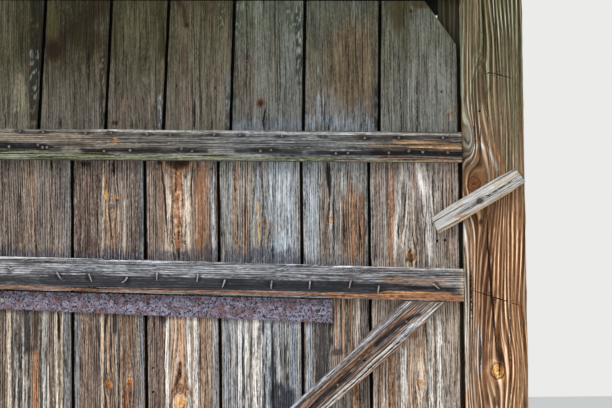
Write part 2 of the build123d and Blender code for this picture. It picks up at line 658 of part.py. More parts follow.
# Posts: squared timber with a tenon at each end and a groove for the wall logs' tongues
for name, side, front in (
    ("left_post", -1, HINGE_POST_SETBACK),
    ("right_post", 1, FRAME_FRONT),
):
    depth = FRAME_BACK - front
    with BuildPart() as post:
        with BuildSketch(Plane.XY.offset(SILL_HEIGHT)):
            with Locations((side * (OPENING_HALF + POST_WIDTH / 2), front + depth / 2)):
                Rectangle(POST_WIDTH, depth)
            with Locations((side * (FRAME_HALF - GROOVE_DEPTH / 2), FRAME_MIDDLE)):
                Rectangle(GROOVE_DEPTH, GROOVE_WIDTH, mode=Mode.SUBTRACT)
        extrude(amount=POST_LENGTH)
        with BuildSketch(Plane.XY.offset(SILL_HEIGHT - TENON_LENGTH)):
            with Locations((side * POST_MIDDLE_X, FRAME_MIDDLE)):
                Rectangle(TENON_WIDTH, TENON_THICKNESS)
        extrude(amount=TENON_LENGTH)
        with BuildSketch(Plane.XY.offset(HEAD_BOTTOM)):
            with Locations((side * POST_MIDDLE_X, FRAME_MIDDLE)):
                Rectangle(TENON_WIDTH, TENON_THICKNESS)
        extrude(amount=TENON_LENGTH)
        with BuildSketch(at_y(FRAME_BACK)):
            with Locations(*[p for p in PEG_PLACES if p[0] * side > 0]):
                RegularPolygon(PEG_RADIUS + PEG_PLAY, PEG_SIDES)
        extrude(amount=FRAME_DEPTH, mode=Mode.SUBTRACT)
        grip = OPENING_HALF + STOP_NAIL_GRIP
        with BuildSketch(Plane.YZ.offset(side * grip)):
            with Locations(*[(STOP_MIDDLE, z) for z in STOP_NAIL_HEIGHTS]):
                Rectangle(NAIL_HOLE, NAIL_HOLE)
        extrude(amount=-side * STOP_NAIL_GRIP, mode=Mode.SUBTRACT)
        if side < 0:
            for eye_bottom in (UPPER_EYE_BOTTOM, LOWER_EYE_BOTTOM):
                hole_width = PINTLE_SHANK + 2 * NAIL_PLAY
                with BuildSketch(Plane.YZ.offset(AXIS_X - hole_width / 2)):
                    with BuildLine():
                        Polyline(*pintle_outline(eye_bottom, NAIL_PLAY), close=True)
                    make_face()
                extrude(amount=hole_width, mode=Mode.SUBTRACT)
        else:
            with BuildSketch(at_y(FRAME_FRONT + BUTTON_NAIL_GRIP)):
                with Locations((PIVOT_X, PIVOT_Z)):
                    Circle(BUTTON_NAIL_RADIUS + NAIL_PLAY / 2)
            extrude(amount=BUTTON_NAIL_GRIP, mode=Mode.SUBTRACT)
    post.part.label = name
    export_step(post.part, f"parts/{name}.step")

# Head beam and sill, mortised for the posts
for name, bottom, thick, mouth in (
    ("head_beam", HEAD_BOTTOM, HEAD_HEIGHT, HEAD_BOTTOM),
    ("sill", 0, SILL_HEIGHT, SILL_HEIGHT - TENON_LENGTH - TENON_PLAY),
):
    with BuildPart() as beam:
        with BuildSketch(Plane.XY.offset(bottom)):
            with Locations((0, FRAME_MIDDLE)):
                Rectangle(2 * FRAME_HALF, FRAME_DEPTH)
        extrude(amount=thick)
        with BuildSketch(Plane.XY.offset(mouth)):
            with Locations((-POST_MIDDLE_X, FRAME_MIDDLE), (POST_MIDDLE_X, FRAME_MIDDLE)):
                Rectangle(TENON_WIDTH + 2 * TENON_PLAY, TENON_THICKNESS + 2 * TENON_PLAY)
        extrude(amount=TENON_LENGTH + TENON_PLAY, mode=Mode.SUBTRACT)
        with BuildSketch(at_y(FRAME_BACK)):
            with Locations(*[p for p in PEG_PLACES if bottom < p[1] < bottom + thick]):
                RegularPolygon(PEG_RADIUS + PEG_PLAY, PEG_SIDES)
        extrude(amount=FRAME_DEPTH, mode=Mode.SUBTRACT)
        if name == "head_beam":
            with BuildSketch(Plane.XY.offset(HEAD_BOTTOM)):
                with Locations(*[(x, STOP_MIDDLE) for x in HEAD_STOP_NAILS]):
                    Rectangle(NAIL_HOLE, NAIL_HOLE)
            extrude(amount=STOP_NAIL_GRIP, mode=Mode.SUBTRACT)
    beam.part.label = name
    export_step(beam.part, f"parts/{name}.step")

# Pegs that lock the tenons
with BuildPart() as frame_pegs:
    with BuildSketch(at_y(FRAME_BACK)):
        with Locations(*PEG_PLACES):
            RegularPolygon(PEG_RADIUS, PEG_SIDES)
    extrude(amount=FRAME_DEPTH)
frame_pegs.part.label = "frame_pegs"
export_step(frame_pegs.part, "parts/frame_pegs.step")

# Stop strips that the leaf closes against
for name, side in (("left_stop_strip", -1), ("right_stop_strip", 1)):
    with BuildPart() as strip:
        with BuildSketch(Plane.XY.offset(SILL_HEIGHT)):
            with Locations((side * (OPENING_HALF - STOP_REACH / 2), STOP_MIDDLE)):
                Rectangle(STOP_REACH, STOP_THICKNESS)
        extrude(amount=POST_LENGTH)
        with BuildSketch(Plane.YZ.offset(side * OPENING_HALF)):
            with Locations(*[(STOP_MIDDLE, z) for z in STOP_NAIL_HEIGHTS]):
                Rectangle(NAIL_HOLE, NAIL_HOLE)
        extrude(amount=-side * STOP_REACH, mode=Mode.SUBTRACT)
    strip.part.label = name
    export_step(strip.part, f"parts/{name}.step")

with BuildPart() as head_stop_strip:
    with BuildSketch(Plane.XY.offset(HEAD_BOTTOM - STOP_REACH)):
        with Locations((0, STOP_MIDDLE)):
            Rectangle(2 * HEAD_STOP_HALF, STOP_THICKNESS)
        with Locations(*[(x, STOP_MIDDLE) for x in HEAD_STOP_NAILS]):
            Rectangle(NAIL_HOLE, NAIL_HOLE, mode=Mode.SUBTRACT)
    extrude(amount=STOP_REACH)
head_stop_strip.part.label = "head_stop_strip"
export_step(head_stop_strip.part, "parts/head_stop_strip.step")

# Nails of the stop strips, driven into the posts and the head beam
with BuildPart() as stop_strip_nails:
    for side in (-1, 1):
        face = side * (OPENING_HALF - STOP_REACH)
        with BuildSketch(Plane.YZ.offset(face)):
            with Locations(*[(STOP_MIDDLE, z) for z in STOP_NAIL_HEIGHTS]):
                RegularPolygon(NAIL_HEAD_RADIUS, NAIL_HEAD_SIDES)
        extrude(amount=-side * NAIL_HEAD_HEIGHT)
        with BuildSketch(Plane.YZ.offset(face)):
            with Locations(*[(STOP_MIDDLE, z) for z in STOP_NAIL_HEIGHTS]):
                Rectangle(NAIL_SIZE, NAIL_SIZE)
        extrude(amount=side * (STOP_REACH + STOP_NAIL_GRIP - NAIL_PLAY))
    with BuildSketch(Plane.XY.offset(HEAD_BOTTOM - STOP_REACH)):
        with Locations(*[(x, STOP_MIDDLE) for x in HEAD_STOP_NAILS]):
            RegularPolygon(NAIL_HEAD_RADIUS, NAIL_HEAD_SIDES)
    extrude(amount=-NAIL_HEAD_HEIGHT)
    with BuildSketch(Plane.XY.offset(HEAD_BOTTOM - STOP_REACH)):
        with Locations(*[(x, STOP_MIDDLE) for x in HEAD_STOP_NAILS]):
            Rectangle(NAIL_SIZE, NAIL_SIZE)
    extrude(amount=STOP_REACH + STOP_NAIL_GRIP - NAIL_PLAY)
stop_strip_nails.part.label = "stop_strip_nails"
export_step(stop_strip_nails.part, "parts/stop_strip_nails.step")

# Turn button, a short board with worn corners that turns on its nail and holds the leaf shut
outline = [
    (-BUTTON_LEFT_REACH + BUTTON_END_SKEW / 2, BUTTON_ABOVE_PIVOT - BUTTON_CORNER_WEAR),
    (-BUTTON_LEFT_REACH + BUTTON_WEAR_REACH, BUTTON_ABOVE_PIVOT),
    (BUTTON_RIGHT_REACH - BUTTON_WEAR_REACH, BUTTON_ABOVE_PIVOT),
    (BUTTON_RIGHT_REACH - BUTTON_END_SKEW / 2, BUTTON_ABOVE_PIVOT - BUTTON_CORNER_WEAR),
    (BUTTON_RIGHT_REACH + BUTTON_END_SKEW / 2, BUTTON_CORNER_WEAR - BUTTON_BELOW_PIVOT),
    (BUTTON_RIGHT_REACH - BUTTON_WEAR_REACH, -BUTTON_BELOW_PIVOT),
    (-BUTTON_LEFT_REACH + BUTTON_WEAR_REACH, -BUTTON_BELOW_PIVOT),
    (-BUTTON_LEFT_REACH - BUTTON_END_SKEW / 2, BUTTON_CORNER_WEAR - BUTTON_BELOW_PIVOT),
]
with BuildPart() as turn_button:
    with BuildSketch(at_y(BUTTON_BACK)):
        with Locations(Location((PIVOT_X, PIVOT_Z), BUTTON_TILT)):
            Polygon(*outline, align=Align.NONE)
            Circle(BUTTON_NAIL_RADIUS + BUTTON_NAIL_PLAY, mode=Mode.SUBTRACT)
    extrude(amount=BUTTON_THICKNESS)
turn_button.part.label = "turn_button"
export_step(turn_button.part, "parts/turn_button.step")

# Nail that the turn button turns on
with BuildPart() as turn_button_nail:
    head_back = BUTTON_FRONT - BUTTON_SLACK
    shank_tip = FRAME_FRONT + BUTTON_NAIL_GRIP - NAIL_PLAY
    with BuildSketch(at_y(head_back)):
        with Locations((PIVOT_X, PIVOT_Z)):
            Circle(BUTTON_NAIL_HEAD_RADIUS)
    extrude(amount=BUTTON_NAIL_HEAD_HEIGHT)
    with BuildSketch(at_y(shank_tip)):
        with Locations((PIVOT_X, PIVOT_Z)):
            Circle(BUTTON_NAIL_RADIUS)
    extrude(amount=shank_tip - head_back)
turn_button_nail.part.label = "turn_button_nail"
export_step(turn_button_nail.part, "parts/turn_button_nail.step")
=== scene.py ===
import math
from itertools import accumulate

import bpy
import numpy as np
from mathutils import Matrix, Vector


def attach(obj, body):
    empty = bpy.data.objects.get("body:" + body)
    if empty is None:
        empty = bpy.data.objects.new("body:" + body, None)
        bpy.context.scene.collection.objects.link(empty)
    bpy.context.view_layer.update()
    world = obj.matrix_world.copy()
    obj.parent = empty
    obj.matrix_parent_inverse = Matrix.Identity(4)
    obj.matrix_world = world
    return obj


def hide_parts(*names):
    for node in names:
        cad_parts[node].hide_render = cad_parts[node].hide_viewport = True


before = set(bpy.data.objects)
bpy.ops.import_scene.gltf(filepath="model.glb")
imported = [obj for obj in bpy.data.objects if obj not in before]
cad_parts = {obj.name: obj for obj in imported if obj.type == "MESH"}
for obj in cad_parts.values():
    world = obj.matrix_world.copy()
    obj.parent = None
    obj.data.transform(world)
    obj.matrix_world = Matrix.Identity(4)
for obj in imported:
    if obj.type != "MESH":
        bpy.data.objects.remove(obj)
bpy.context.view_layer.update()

# All sizes are millimetres in the frame's axes; meshes are made in metres.
MM = 0.001

# The camera: a long lens 3.5 m in front of the latch side, a little below what it looks at
IMAGE_WIDTH, IMAGE_HEIGHT = 612, 408
FOCAL_PIXELS = 1707
SENSOR_WIDTH = 36
AIM = np.array([240.0, 0.0, 1523.0])
AIM_DISTANCE = 3500
PITCH = math.radians(3.3)
ROLL = math.radians(0.55)

forward = np.array([0, math.cos(PITCH), math.sin(PITCH)])
level_right = np.array([1.0, 0, 0])
level_up = np.array([0, -math.sin(PITCH), math.cos(PITCH)])
right = math.cos(ROLL) * level_right - math.sin(ROLL) * level_up
up = math.cos(ROLL) * level_up + math.sin(ROLL) * level_right
eye = AIM - AIM_DISTANCE * forward


def spot(px, py, y=0.0):
    """X and Z on the upright plane at depth y of the view's pixel (px, py)."""
    ray = (
        forward
        + right * (px - IMAGE_WIDTH / 2) / FOCAL_PIXELS
        - up * (py - IMAGE_HEIGHT / 2) / FOCAL_PIXELS
    )
    reach = (y - eye[1]) / ray[1]
    return eye[0] + reach * ray[0], eye[2] + reach * ray[2]


def unspot(x, z, y):
    """The view's pixel of a point."""
    ray = np.array([x, y, z]) - eye
    reach = ray @ forward
    return (
        IMAGE_WIDTH / 2 + FOCAL_PIXELS * (ray @ right) / reach,
        IMAGE_HEIGHT / 2 - FOCAL_PIXELS * (ray @ up) / reach,
    )


# Noise and colour
LATTICE_SIZE = 256
LATTICE = np.random.default_rng(7).uniform(-1, 1, (LATTICE_SIZE, LATTICE_SIZE))


def smooth_step(x):
    return x * x * (3 - 2 * x)


def noise(x, y, seed=0):
    """Smooth noise from -1 to 1, one lump a unit."""
    x = np.asarray(x, float) + 37.31 * seed
    y = np.asarray(y, float) + 71.93 * seed
    xi, yi = np.floor(x).astype(int), np.floor(y).astype(int)
    fx, fy = smooth_step(x - xi), smooth_step(y - yi)
    x0, x1 = xi % LATTICE_SIZE, (xi + 1) % LATTICE_SIZE
    y0, y1 = yi % LATTICE_SIZE, (yi + 1) % LATTICE_SIZE
    low = LATTICE[x0, y0] * (1 - fx) + LATTICE[x1, y0] * fx
    high = LATTICE[x0, y1] * (1 - fx) + LATTICE[x1, y1] * fx
    return low * (1 - fy) + high * fy


def fractal(x, y, seed=0, octaves=3):
    """Noise summed over octaves, each half as wide and a little over half as strong."""
    total, gain, norm = 0, 1.0, 0
    for k in range(octaves):
        total = total + gain * noise(x * 2**k, y * 2**k, seed + 11 * k)
        norm += gain
        gain *= 0.55
    return total / norm


def linear(colour):
    """Linear light of a colour given as it looks, 0 to 255."""
    c = np.asarray(colour, float) / 255
    return np.where(c <= 0.04045, c / 12.92, ((c + 0.055) / 1.055) ** 2.4)


def rgba(colour):
    return (*linear(colour), 1.0)


class Graph:
    """A material and short ways to add nodes to it."""

    def __init__(self, name):
        self.material = bpy.data.materials.new(name)
        self.material.use_nodes = True
        self.tree = self.material.node_tree
        self.shader = self.tree.nodes["Principled BSDF"]

    def add(self, kind, inputs=None, **settings):
        node = self.tree.nodes.new("ShaderNode" + kind)
        for key, value in settings.items():
            setattr(node, key, value)
        for key, value in (inputs or {}).items():
            self.put(node.inputs[key], value)
        return node

    def put(self, socket, value):
        if isinstance(value, bpy.types.NodeSocket):
            self.tree.links.new(value, socket)
        else:
            socket.default_value = value

    def attribute(self, name):
        return self.add("Attribute", attribute_name=name)

    def math(self, operation, a, b=0.0, clamp=False):
        node = self.add("Math", {0: a, 1: b}, operation=operation)
        node.use_clamp = clamp
        return node.outputs[0]

    def plus(self, a, b):
        return self.math("ADD", a, b)

    def minus(self, a, b):
        return self.math("SUBTRACT", a, b)

    def times(self, a, b, clamp=False):
        return self.math("MULTIPLY", a, b, clamp)

    def scaled(self, vector, scale):
        return self.add("VectorMath", {0: vector, 1: scale}, operation="MULTIPLY").outputs[0]

    def shaded(self, colour, amount):
        """A colour with each of its parts times amount."""
        amounts = self.add("CombineXYZ", {0: amount, 1: amount, 2: amount}).outputs[0]
        return self.scaled(colour, amounts)

    def noise(self, vector, detail=3.0, roughness=0.55, scale=1.0):
        inputs = {"Vector": vector, "Scale": scale, "Detail": detail, "Roughness": roughness}
        return self.add("TexNoise", inputs).outputs["Fac"]

    def span(self, value, from_low, from_high, to_low=0.0, to_high=1.0):
        names = ("Value", "From Min", "From Max", "To Min", "To Max")
        inputs = dict(zip(names, (value, from_low, from_high, to_low, to_high)))
        return self.add("MapRange", inputs).outputs[0]

    def mix(self, factor, a, b):
        node = self.add("Mix", data_type="RGBA", blend_type="MIX")
        for index, value in ((0, factor), (6, a), (7, b)):
            self.put(node.inputs[index], value)
        return node.outputs[2]

    def finish(self, colour, roughness, height, distance, strength=0.8):
        bump = self.add("Bump", {"Height": height, "Distance": distance, "Strength": strength})
        self.put(self.shader.inputs["Base Color"], colour)
        self.put(self.shader.inputs["Roughness"], roughness)
        self.put(self.shader.inputs["Normal"], bump.outputs[0])
        return self.material


def add_rings(g, grain, colour, lit, strong, ring_step, ring_amount, gap):
    """Year rings: a pale line and a thin dark one in every step of the warped grain."""
    across = g.add("SeparateXYZ", {0: grain}).outputs[0]
    bend = g.noise(g.scaled(grain, (0.02, 0.0025, 1)), 2.0, 0.5)
    phase = g.plus(g.math("DIVIDE", across, ring_step), g.times(bend, 4.0))
    saw = g.math("FRACT", phase)
    pale_line = g.times(g.span(saw, 0.0, 0.12), g.span(saw, 0.24, 0.40, 1.0, 0.0))
    between = g.times(g.span(saw, 0.36, 0.60), g.span(saw, 0.92, 1.0, 1.0, 0.0))
    region = g.span(g.noise(g.scaled(grain, (0.035, 0.004, 1)), 1.0, 0.5), 0.38, 0.60, 0.2, 1.0)
    region = g.times(g.times(region, strong), ring_amount)
    colour = g.mix(g.times(between, region), colour, g.scaled(colour, gap))
    return g.mix(g.times(pale_line, region), colour, lit)


def add_checks(g, grain, colour, strong, fibre, drift):
    """Hair-thin checks, in patches."""
    split = g.noise(g.scaled(grain, (fibre * 0.30, drift * 0.35, 1)), 1.0, 0.5)
    split = g.span(g.math("ABSOLUTE", g.minus(split, 0.5)), 0.004, 0.016, 1.0, 0.0)
    patch = g.noise(g.scaled(grain, (0.035, 0.006, 1)), 1.0, 0.5)
    split = g.times(g.times(split, g.span(patch, 0.5, 0.58)), strong)
    return g.mix(g.times(split, 0.85), colour, rgba((20, 17, 14))), split


def add_knots(g, colour):
    """Knots and holes, drawn from each point's place in its nearest one."""
    parts = g.add("SeparateXYZ", {0: g.attribute("knot").outputs["Vector"]})
    flat = g.add("CombineXYZ", {0: parts.outputs[0], 1: parts.outputs[1]}).outputs[0]
    r = g.add("VectorMath", {0: flat}, operation="LENGTH").outputs["Value"]
    lump = g.minus(g.noise(flat, 2.0, 0.6, 1.1), 0.5)
    r = g.plus(r, g.times(lump, 0.7))
    kind = parts.outputs[2]
    is_knot = g.times(g.span(kind, 0.4, 0.6), g.span(kind, 1.4, 1.6, 1.0, 0.0))
    is_hole = g.span(kind, 1.4, 1.6)
    heart = g.times(g.span(r, 0.9, 1.0, 1.0, 0.0), is_knot)
    rings = g.math("SINE", g.plus(g.times(r, 17.0), g.times(lump, 9.0)))
    rings = g.times(g.times(rings, 0.32), heart)
    colour = g.shaded(colour, g.plus(1.0, rings))
    rim = g.span(g.math("ABSOLUTE", g.minus(r, 1.02)), 0.03, 0.17, 1.0, 0.0)
    rim = g.times(rim, is_knot)
    colour = g.mix(g.times(rim, 0.75), colour, rgba((38, 22, 12)))
    centre = g.times(g.span(r, 0.05, 0.34, 0.75, 0.0), is_knot)
    colour = g.mix(centre, colour, rgba((34, 20, 12)))
    hole = g.times(g.span(r, 0.8, 1.05, 1.0, 0.0), is_hole)
    return g.mix(hole, colour, rgba((9, 7, 6))), hole


def add_cracks(g, grain, colour):
    """Cracks, from each point's signed distance to its nearest one."""
    crack_at = g.add("SeparateXYZ", {0: g.attribute("crack").outputs["Vector"]})
    distance, taper, width = crack_at.outputs[:3]
    jitter = g.minus(g.noise(g.scaled(grain, (0.05, 0.16, 1)), 2.0, 0.6), 0.5)
    away = g.math("ABSOLUTE", g.plus(distance, g.times(jitter, 4.0)))
    open_by = g.times(width, g.span(taper, 0.0, 1.0, 0.15, 1.0))
    crack = g.minus(1.0, g.math("DIVIDE", away, g.plus(open_by, 0.001)))
    crack = g.span(crack, 0.0, 0.45)
    return g.mix(g.times(crack, 0.93), colour, rgba((12, 9, 7))), crack


def worn_wood(name, fibre=0.28, drift=0.006, pale=(196, 192, 186), pale_amount=0.5,
              deep=(34, 28, 22), deep_amount=0.6, ring_step=7.0, ring_amount=0.3,
              own=0.5, fibres=1.0, gap=(0.7, 0.62, 0.55), lift=(1.75, 1.72, 1.68)):
    """Weathered wood over a painted tint: fibres, pale ridges, dark furrows and hair checks."""
    g = Graph(name)
    tint = g.attribute("tint")
    grain = g.attribute("grain").outputs["Vector"]
    contrast = tint.outputs["Alpha"]
    textures = []
    for across, along, detail, roughness in (
        (fibre * 0.36, drift * 0.55, 2.0, 0.5),
        (fibre, drift, 2.5, 0.6),
        (fibre * 1.1, drift * 8, 2.0, 0.6),
        (0.22, 0.11, 3.0, 0.65),
    ):
        textures.append(g.noise(g.scaled(grain, (across, along, 1)), detail, roughness))
    spreads = (0.08, 0.08, 0.12, 0.14)
    waves = [g.span(t, 0.5 - half, 0.5 + half, -1.0) for t, half in zip(textures, spreads)]
    value = g.times(waves[0], 0.2)
    for wave, weight in zip(waves[1:], (0.5, 0.4, 0.2)):
        value = g.plus(value, g.times(wave, weight))
    value = g.times(value, fibres)
    colour = g.shaded(tint.outputs["Color"], g.plus(1.0, g.times(value, contrast)))
    strong = g.times(contrast, 1.8, clamp=True)
    ridge = g.times(g.span(value, 0.30, 0.85, 0.0, pale_amount), strong)
    # Raised fibres take their colour partly from the tint under them
    lit = g.mix(own, rgba(pale), g.scaled(tint.outputs["Color"], lift))
    colour = g.mix(ridge, colour, lit)
    furrow = g.times(g.span(value, -0.30, -0.85, 0.0, deep_amount), strong)
    colour = g.mix(furrow, colour, rgba(deep))
    colour = add_rings(g, grain, colour, lit, strong, ring_step, ring_amount, gap)
    colour, split = add_checks(g, grain, colour, strong, fibre, drift)
    colour, hole = add_knots(g, colour)
    colour, crack = add_cracks(g, grain, colour)
    roughness = g.span(value, -0.6, 0.6, 0.95, 0.8)
    g.shader.inputs["Specular IOR Level"].default_value = 0.2
    height = g.minus(g.times(value, 0.5), split)
    height = g.minus(height, g.times(g.plus(crack, hole), 1.5))
    return g.finish(colour, roughness, height, 0.0014, 0.7)


def peg_wood(name, light, dark):
    """Wood for pieces without a painted tint, its fibres running from front to back."""
    g = Graph(name)
    where = g.add("TexCoord").outputs["Object"]
    fine = g.noise(g.scaled(where, (330, 14, 330)), 4.0, 0.65)
    blotch = g.noise(where, 3.0, 0.6, 28.0)
    value = g.plus(g.times(fine, 0.7), g.times(blotch, 0.3))
    colour = g.mix(g.span(value, 0.38, 0.62), rgba(dark), rgba(light))
    return g.finish(colour, g.span(fine, 0.3, 0.7, 0.95, 0.8), value, 0.0015)


def old_iron(name, skin, rust, deep, rust_amount=0.5, scale=1.0):
    """Forged iron: a dark skin with rust blooms, pits and worn flecks."""
    g = Graph(name)
    where = g.add("TexCoord").outputs["Object"]
    broad = g.noise(where, 3.0, 0.6, 60.0 * scale)
    fine = g.noise(where, 3.0, 0.7, 210.0 * scale)
    pits = g.add("TexVoronoi", {"Vector": where, "Scale": 150.0 * scale}, feature="F1")
    pit = g.span(pits.outputs["Distance"], 0.16, 0.30, 1.0, 0.0)
    pit = g.times(pit, g.span(broad, 0.45, 0.55, 0.2, 1.0))
    bloom = g.plus(g.times(broad, 0.5), g.times(fine, 0.5))
    middle = 0.56 - 0.12 * rust_amount
    bloom = g.span(bloom, middle, middle + 0.06)
    colour = g.mix(g.span(fine, 0.40, 0.60), rgba(deep), rgba(skin))
    colour = g.mix(g.times(bloom, 0.8), colour, rgba(rust))
    colour = g.mix(g.times(pit, 0.8), colour, rgba(deep))
    g.shader.inputs["Metallic"].default_value = 0.2
    height = g.minus(fine, pit)
    return g.finish(colour, g.span(bloom, 0.0, 1.0, 0.55, 0.85), height, 0.0012)


def make_piece(name, points, faces, material, body, slot, nodes, smooth=35, colours=None,
               vectors=None):
    """A mesh from points in millimetres; colours and vectors hold values for the shader."""
    mesh = bpy.data.meshes.new(name)
    mesh.from_pydata((points * MM).tolist(), [], faces)
    mesh.validate()
    if colours is not None:
        layer = mesh.attributes.new("tint", "FLOAT_COLOR", "POINT")
        layer.data.foreach_set("color", colours.astype(np.float32).ravel())
    for key, values in (vectors or {}).items():
        layer = mesh.attributes.new(key, "FLOAT_VECTOR", "POINT")
        layer.data.foreach_set("vector", values.astype(np.float32).ravel())
    mesh.polygons.foreach_set("use_smooth", np.ones(len(mesh.polygons), bool))
    mesh.set_sharp_from_angle(angle=math.radians(smooth))
    mesh.materials.append(material)
    piece = bpy.data.objects.new(name, mesh)
    bpy.context.scene.collection.objects.link(piece)
    if nodes:
        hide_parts(*nodes)
    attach(piece, body)
    return piece


def side_faces(rings, ring):
    """Quads between rings of points, each of ring points."""
    i, j = np.meshgrid(np.arange(rings - 1), np.arange(ring), indexing="ij")
    k = (j + 1) % ring
    quads = [i * ring + j, i * ring + k, (i + 1) * ring + k, (i + 1) * ring + j]
    return np.stack(quads, -1).reshape(-1, 4).tolist()


def tube_faces(rings, ring, flip=False):
    """Quads of a closed tube of rings with a face over each end."""
    start = list(range(ring))
    end = list(range((rings - 1) * ring, rings * ring))
    faces = side_faces(rings, ring) + [start[::-1], end]
    return [face[::-1] for face in faces] if flip else faces


# Marks on a piece of wood. A mark is a dictionary of what it does to a Face: bend its grain,
# give it a crack, or put colour and depth on it. Places are pixels of the view, taken on the
# piece's front; sizes are millimetres.
VIEW_BOTTOM, BOARDS_END = 408, 920


def blob(px, py, across, along, colour, strength=1.0, ragged=0.5, depth=0.0):
    """A patch with a ragged edge."""

    def put(face):
        cu, cw = face.to_local(px, py)
        size = min(across, along)
        r = np.hypot((face.u - cu) / across, (face.w - cw) / along)
        r = r + ragged * 0.5 * face.fractal(0.5 * size + 2, 1.5 * size + 6, 20)
        mask = smooth_step(np.clip((1.15 - r) / 0.45, 0, 1))
        face.tint_over(mask, strength, colour)
        face.depth = face.depth + depth * mask

    return {"put": put}


def streak(points, width, colour, strength=1.0):
    """A soft line through points."""

    def put(face):
        line = [face.to_local(*p) for p in points]
        away = distance_to(face.u, face.w, line)
        away = away + 0.35 * width * noise(face.u / 6, face.w / 25, face.seed + 31)
        face.tint_over(np.clip(1.25 - away / width, 0, 1), strength, colour)

    return {"put": put}


def course(start, end, half, colour, strength=0.9, broken=0.0):
    """A stripe along the fibres with clear edges and jagged ends; half is half its width."""

    def put(face):
        w = face.w
        u0, share, away, length = face.beside(start, end)
        wave = 0.9 * noise(w / 45, 0 * w + u0, face.seed + 33)
        wave = wave + 0.4 * noise(w / 12, 0 * w + u0, face.seed + 34)
        away = np.abs(away + wave * min(half, 2.0))
        jag = 12 * noise(face.g / 2.2, w * 0, face.seed + 35)
        inside = np.minimum(share, 1 - share) * length + jag
        mask = np.clip((half - away) / 1.1 + 0.5, 0, 1) * np.clip(inside / 9 + 0.5, 0, 1)
        if broken:
            mask = mask * np.clip(1.6 * noise(w / 16, 0 * w + u0, face.seed + 36) + 1.0, 0, 1)
        face.tint_over(mask, strength, colour)

    return {"put": put}


def band(x, top, bottom, width, colour, strength=0.6):
    """An upright stripe of the given width in pixels, from top to bottom."""
    return course((x, top), (x, bottom), 0.675 * width, colour, strength)


def brace_stripe(offset, begin, end, half, colour, broken=0.0):
    """A stripe along the brace, offset pixels under its upper edge, begin to end along it."""
    places = [(290 + 0.738 * along + 0.674 * offset, 408 - 0.674 * along + 0.738 * offset)
              for along in (begin, end)]
    return course(*places, half, colour, 0.9, broken)


def stripes(top, bottom, *rows):
    """Upright stripes side by side: each is a place, half a width and a colour."""
    bottom = BOARDS_END if bottom > VIEW_BOTTOM - 10 else bottom
    return [course((x, top), (x, bottom), half, colour) for x, half, colour in rows]


def lines(colour, *rows):
    """Broken lines along the fibres: place, top, bottom and half a width."""
    marks = []
    for x, top, bottom, half in rows:
        end = bottom + (37 * x) % 400 if bottom > VIEW_BOTTOM - 10 else bottom
        marks.append(course((x, top), (x + 0.6, end), half, colour, 0.95, 1.0))
    return marks


def leaning(top, half, colour, *rows):
    """Lines from one height down: place, lean and bottom."""
    return [course((x, top), (x + lean, end), half, colour, 0.85) for x, lean, end in rows]


def bark(start, end, half, dark=(44, 42, 36), pale=(124, 126, 114)):
    """A crumbly strip of bark and rotten wood, dark with pale specks."""

    def put(face):
        u, w, seed = face.u, face.w, face.seed
        _, share, away, length = face.beside(start, end)
        ragged = 2.2 * noise(w / 14, u / 9, seed + 41) + 1.2 * noise(w / 5, u / 5, seed + 42)
        away = np.abs(away) + ragged
        inside = np.minimum(share, 1 - share) * length + 5 * ragged
        mask = np.clip((half - away) / 2 + 0.5, 0, 1) * np.clip(inside / 12 + 0.5, 0, 1)
        lumps = noise(w / 6.5, u / 2.6, seed + 43)
        face.blend(mask * 0.9, dark)
        face.blend(mask * np.clip(2.4 * lumps - 0.3, 0, 1), pale)
        face.contrast = face.contrast * (1 - 0.4 * mask)
        face.depth = face.depth + mask * (1.0 + 1.4 * lumps)

    return {"put": put}


def hem(points, jag, colour, strength=0.7, reach=400.0):
    """A stain under the line through points, its upper edge jagged along the fibres."""

    def put(face):
        w, seed = face.w, face.seed
        line = sorted(face.to_local(*p) for p in points)
        top = np.interp(face.u, [q[0] for q in line], [q[1] for q in line])
        fine, coarse = (noise(face.g / size, 0 * w, seed + k) for size, k in ((2.6, 81), (9, 82)))
        top = top + jag * (0.8 * fine + 0.8 * coarse)
        mask = np.clip((top - w) / (0.6 * jag + 1) + 0.3, 0, 1)
        face.blend(mask * np.clip((w - top + reach) / 6, 0, 1) * strength, colour)

    return {"put": put}


def hole(px, py, size=2.4):
    def put(face):
        r = face.nearest_knot(px, py, size, 1.0, 2.0)
        face.depth = face.depth + 3.0 * np.exp(-(r**2))

    return {"put": put}


def swirl(px, py, size, stretch=4.0, spread=2.6):
    """Grain that runs round a place."""

    def bend(face):
        ku, kw = face.to_local(px, py)
        du, dw = face.u - ku, (face.w - kw) / stretch
        far = np.exp(-(du**2 + (dw / 1.6) ** 2) / (spread * size) ** 2)
        return face.g - du * 0.85 * far

    return {"bend": bend}


def knot(px, py, size, core, ring, stretch=1.5, spread=2.6):
    """A knot with its rings, standing a little proud, and the grain round it."""
    tall = 1 + 0.25 * (stretch - 1)

    def put(face):
        face.nearest_knot(px, py, size, tall, 1.0)
        ku, kw = face.to_local(px, py)
        du, dw = face.u - ku, face.w - kw
        r = np.hypot(du, dw / tall) / size
        r = r * (1 + 0.12 * noise(np.arctan2(dw, du) * 1.3, 0 * face.u, face.seed + 40))
        face.blend(0.75 * np.exp(-((np.maximum(r - 1, 0) / 0.55) ** 2)), ring)
        heart = np.clip((1.1 - r) / 0.35, 0, 1)
        face.blend(heart * 0.9, core)
        face.depth = face.depth * (1 - 0.8 * heart) - 0.2 * heart
        face.depth = face.depth + 0.9 * np.exp(-(((r - 1.02) / 0.14) ** 2))
        face.contrast = face.contrast * (1 - 0.5 * heart)

    return {**swirl(px, py, size, stretch, spread), "put": put}


def loop(px, py, across, along, lift):
    """Closed or tongue-shaped year rings round a place."""

    def bend(face):
        ku, kw = face.to_local(px, py)
        du, dw = (face.u - ku) / across, (face.w - kw) / along
        return face.g + lift * np.exp(-(du**2) - dw**2)

    return {"bend": bend}


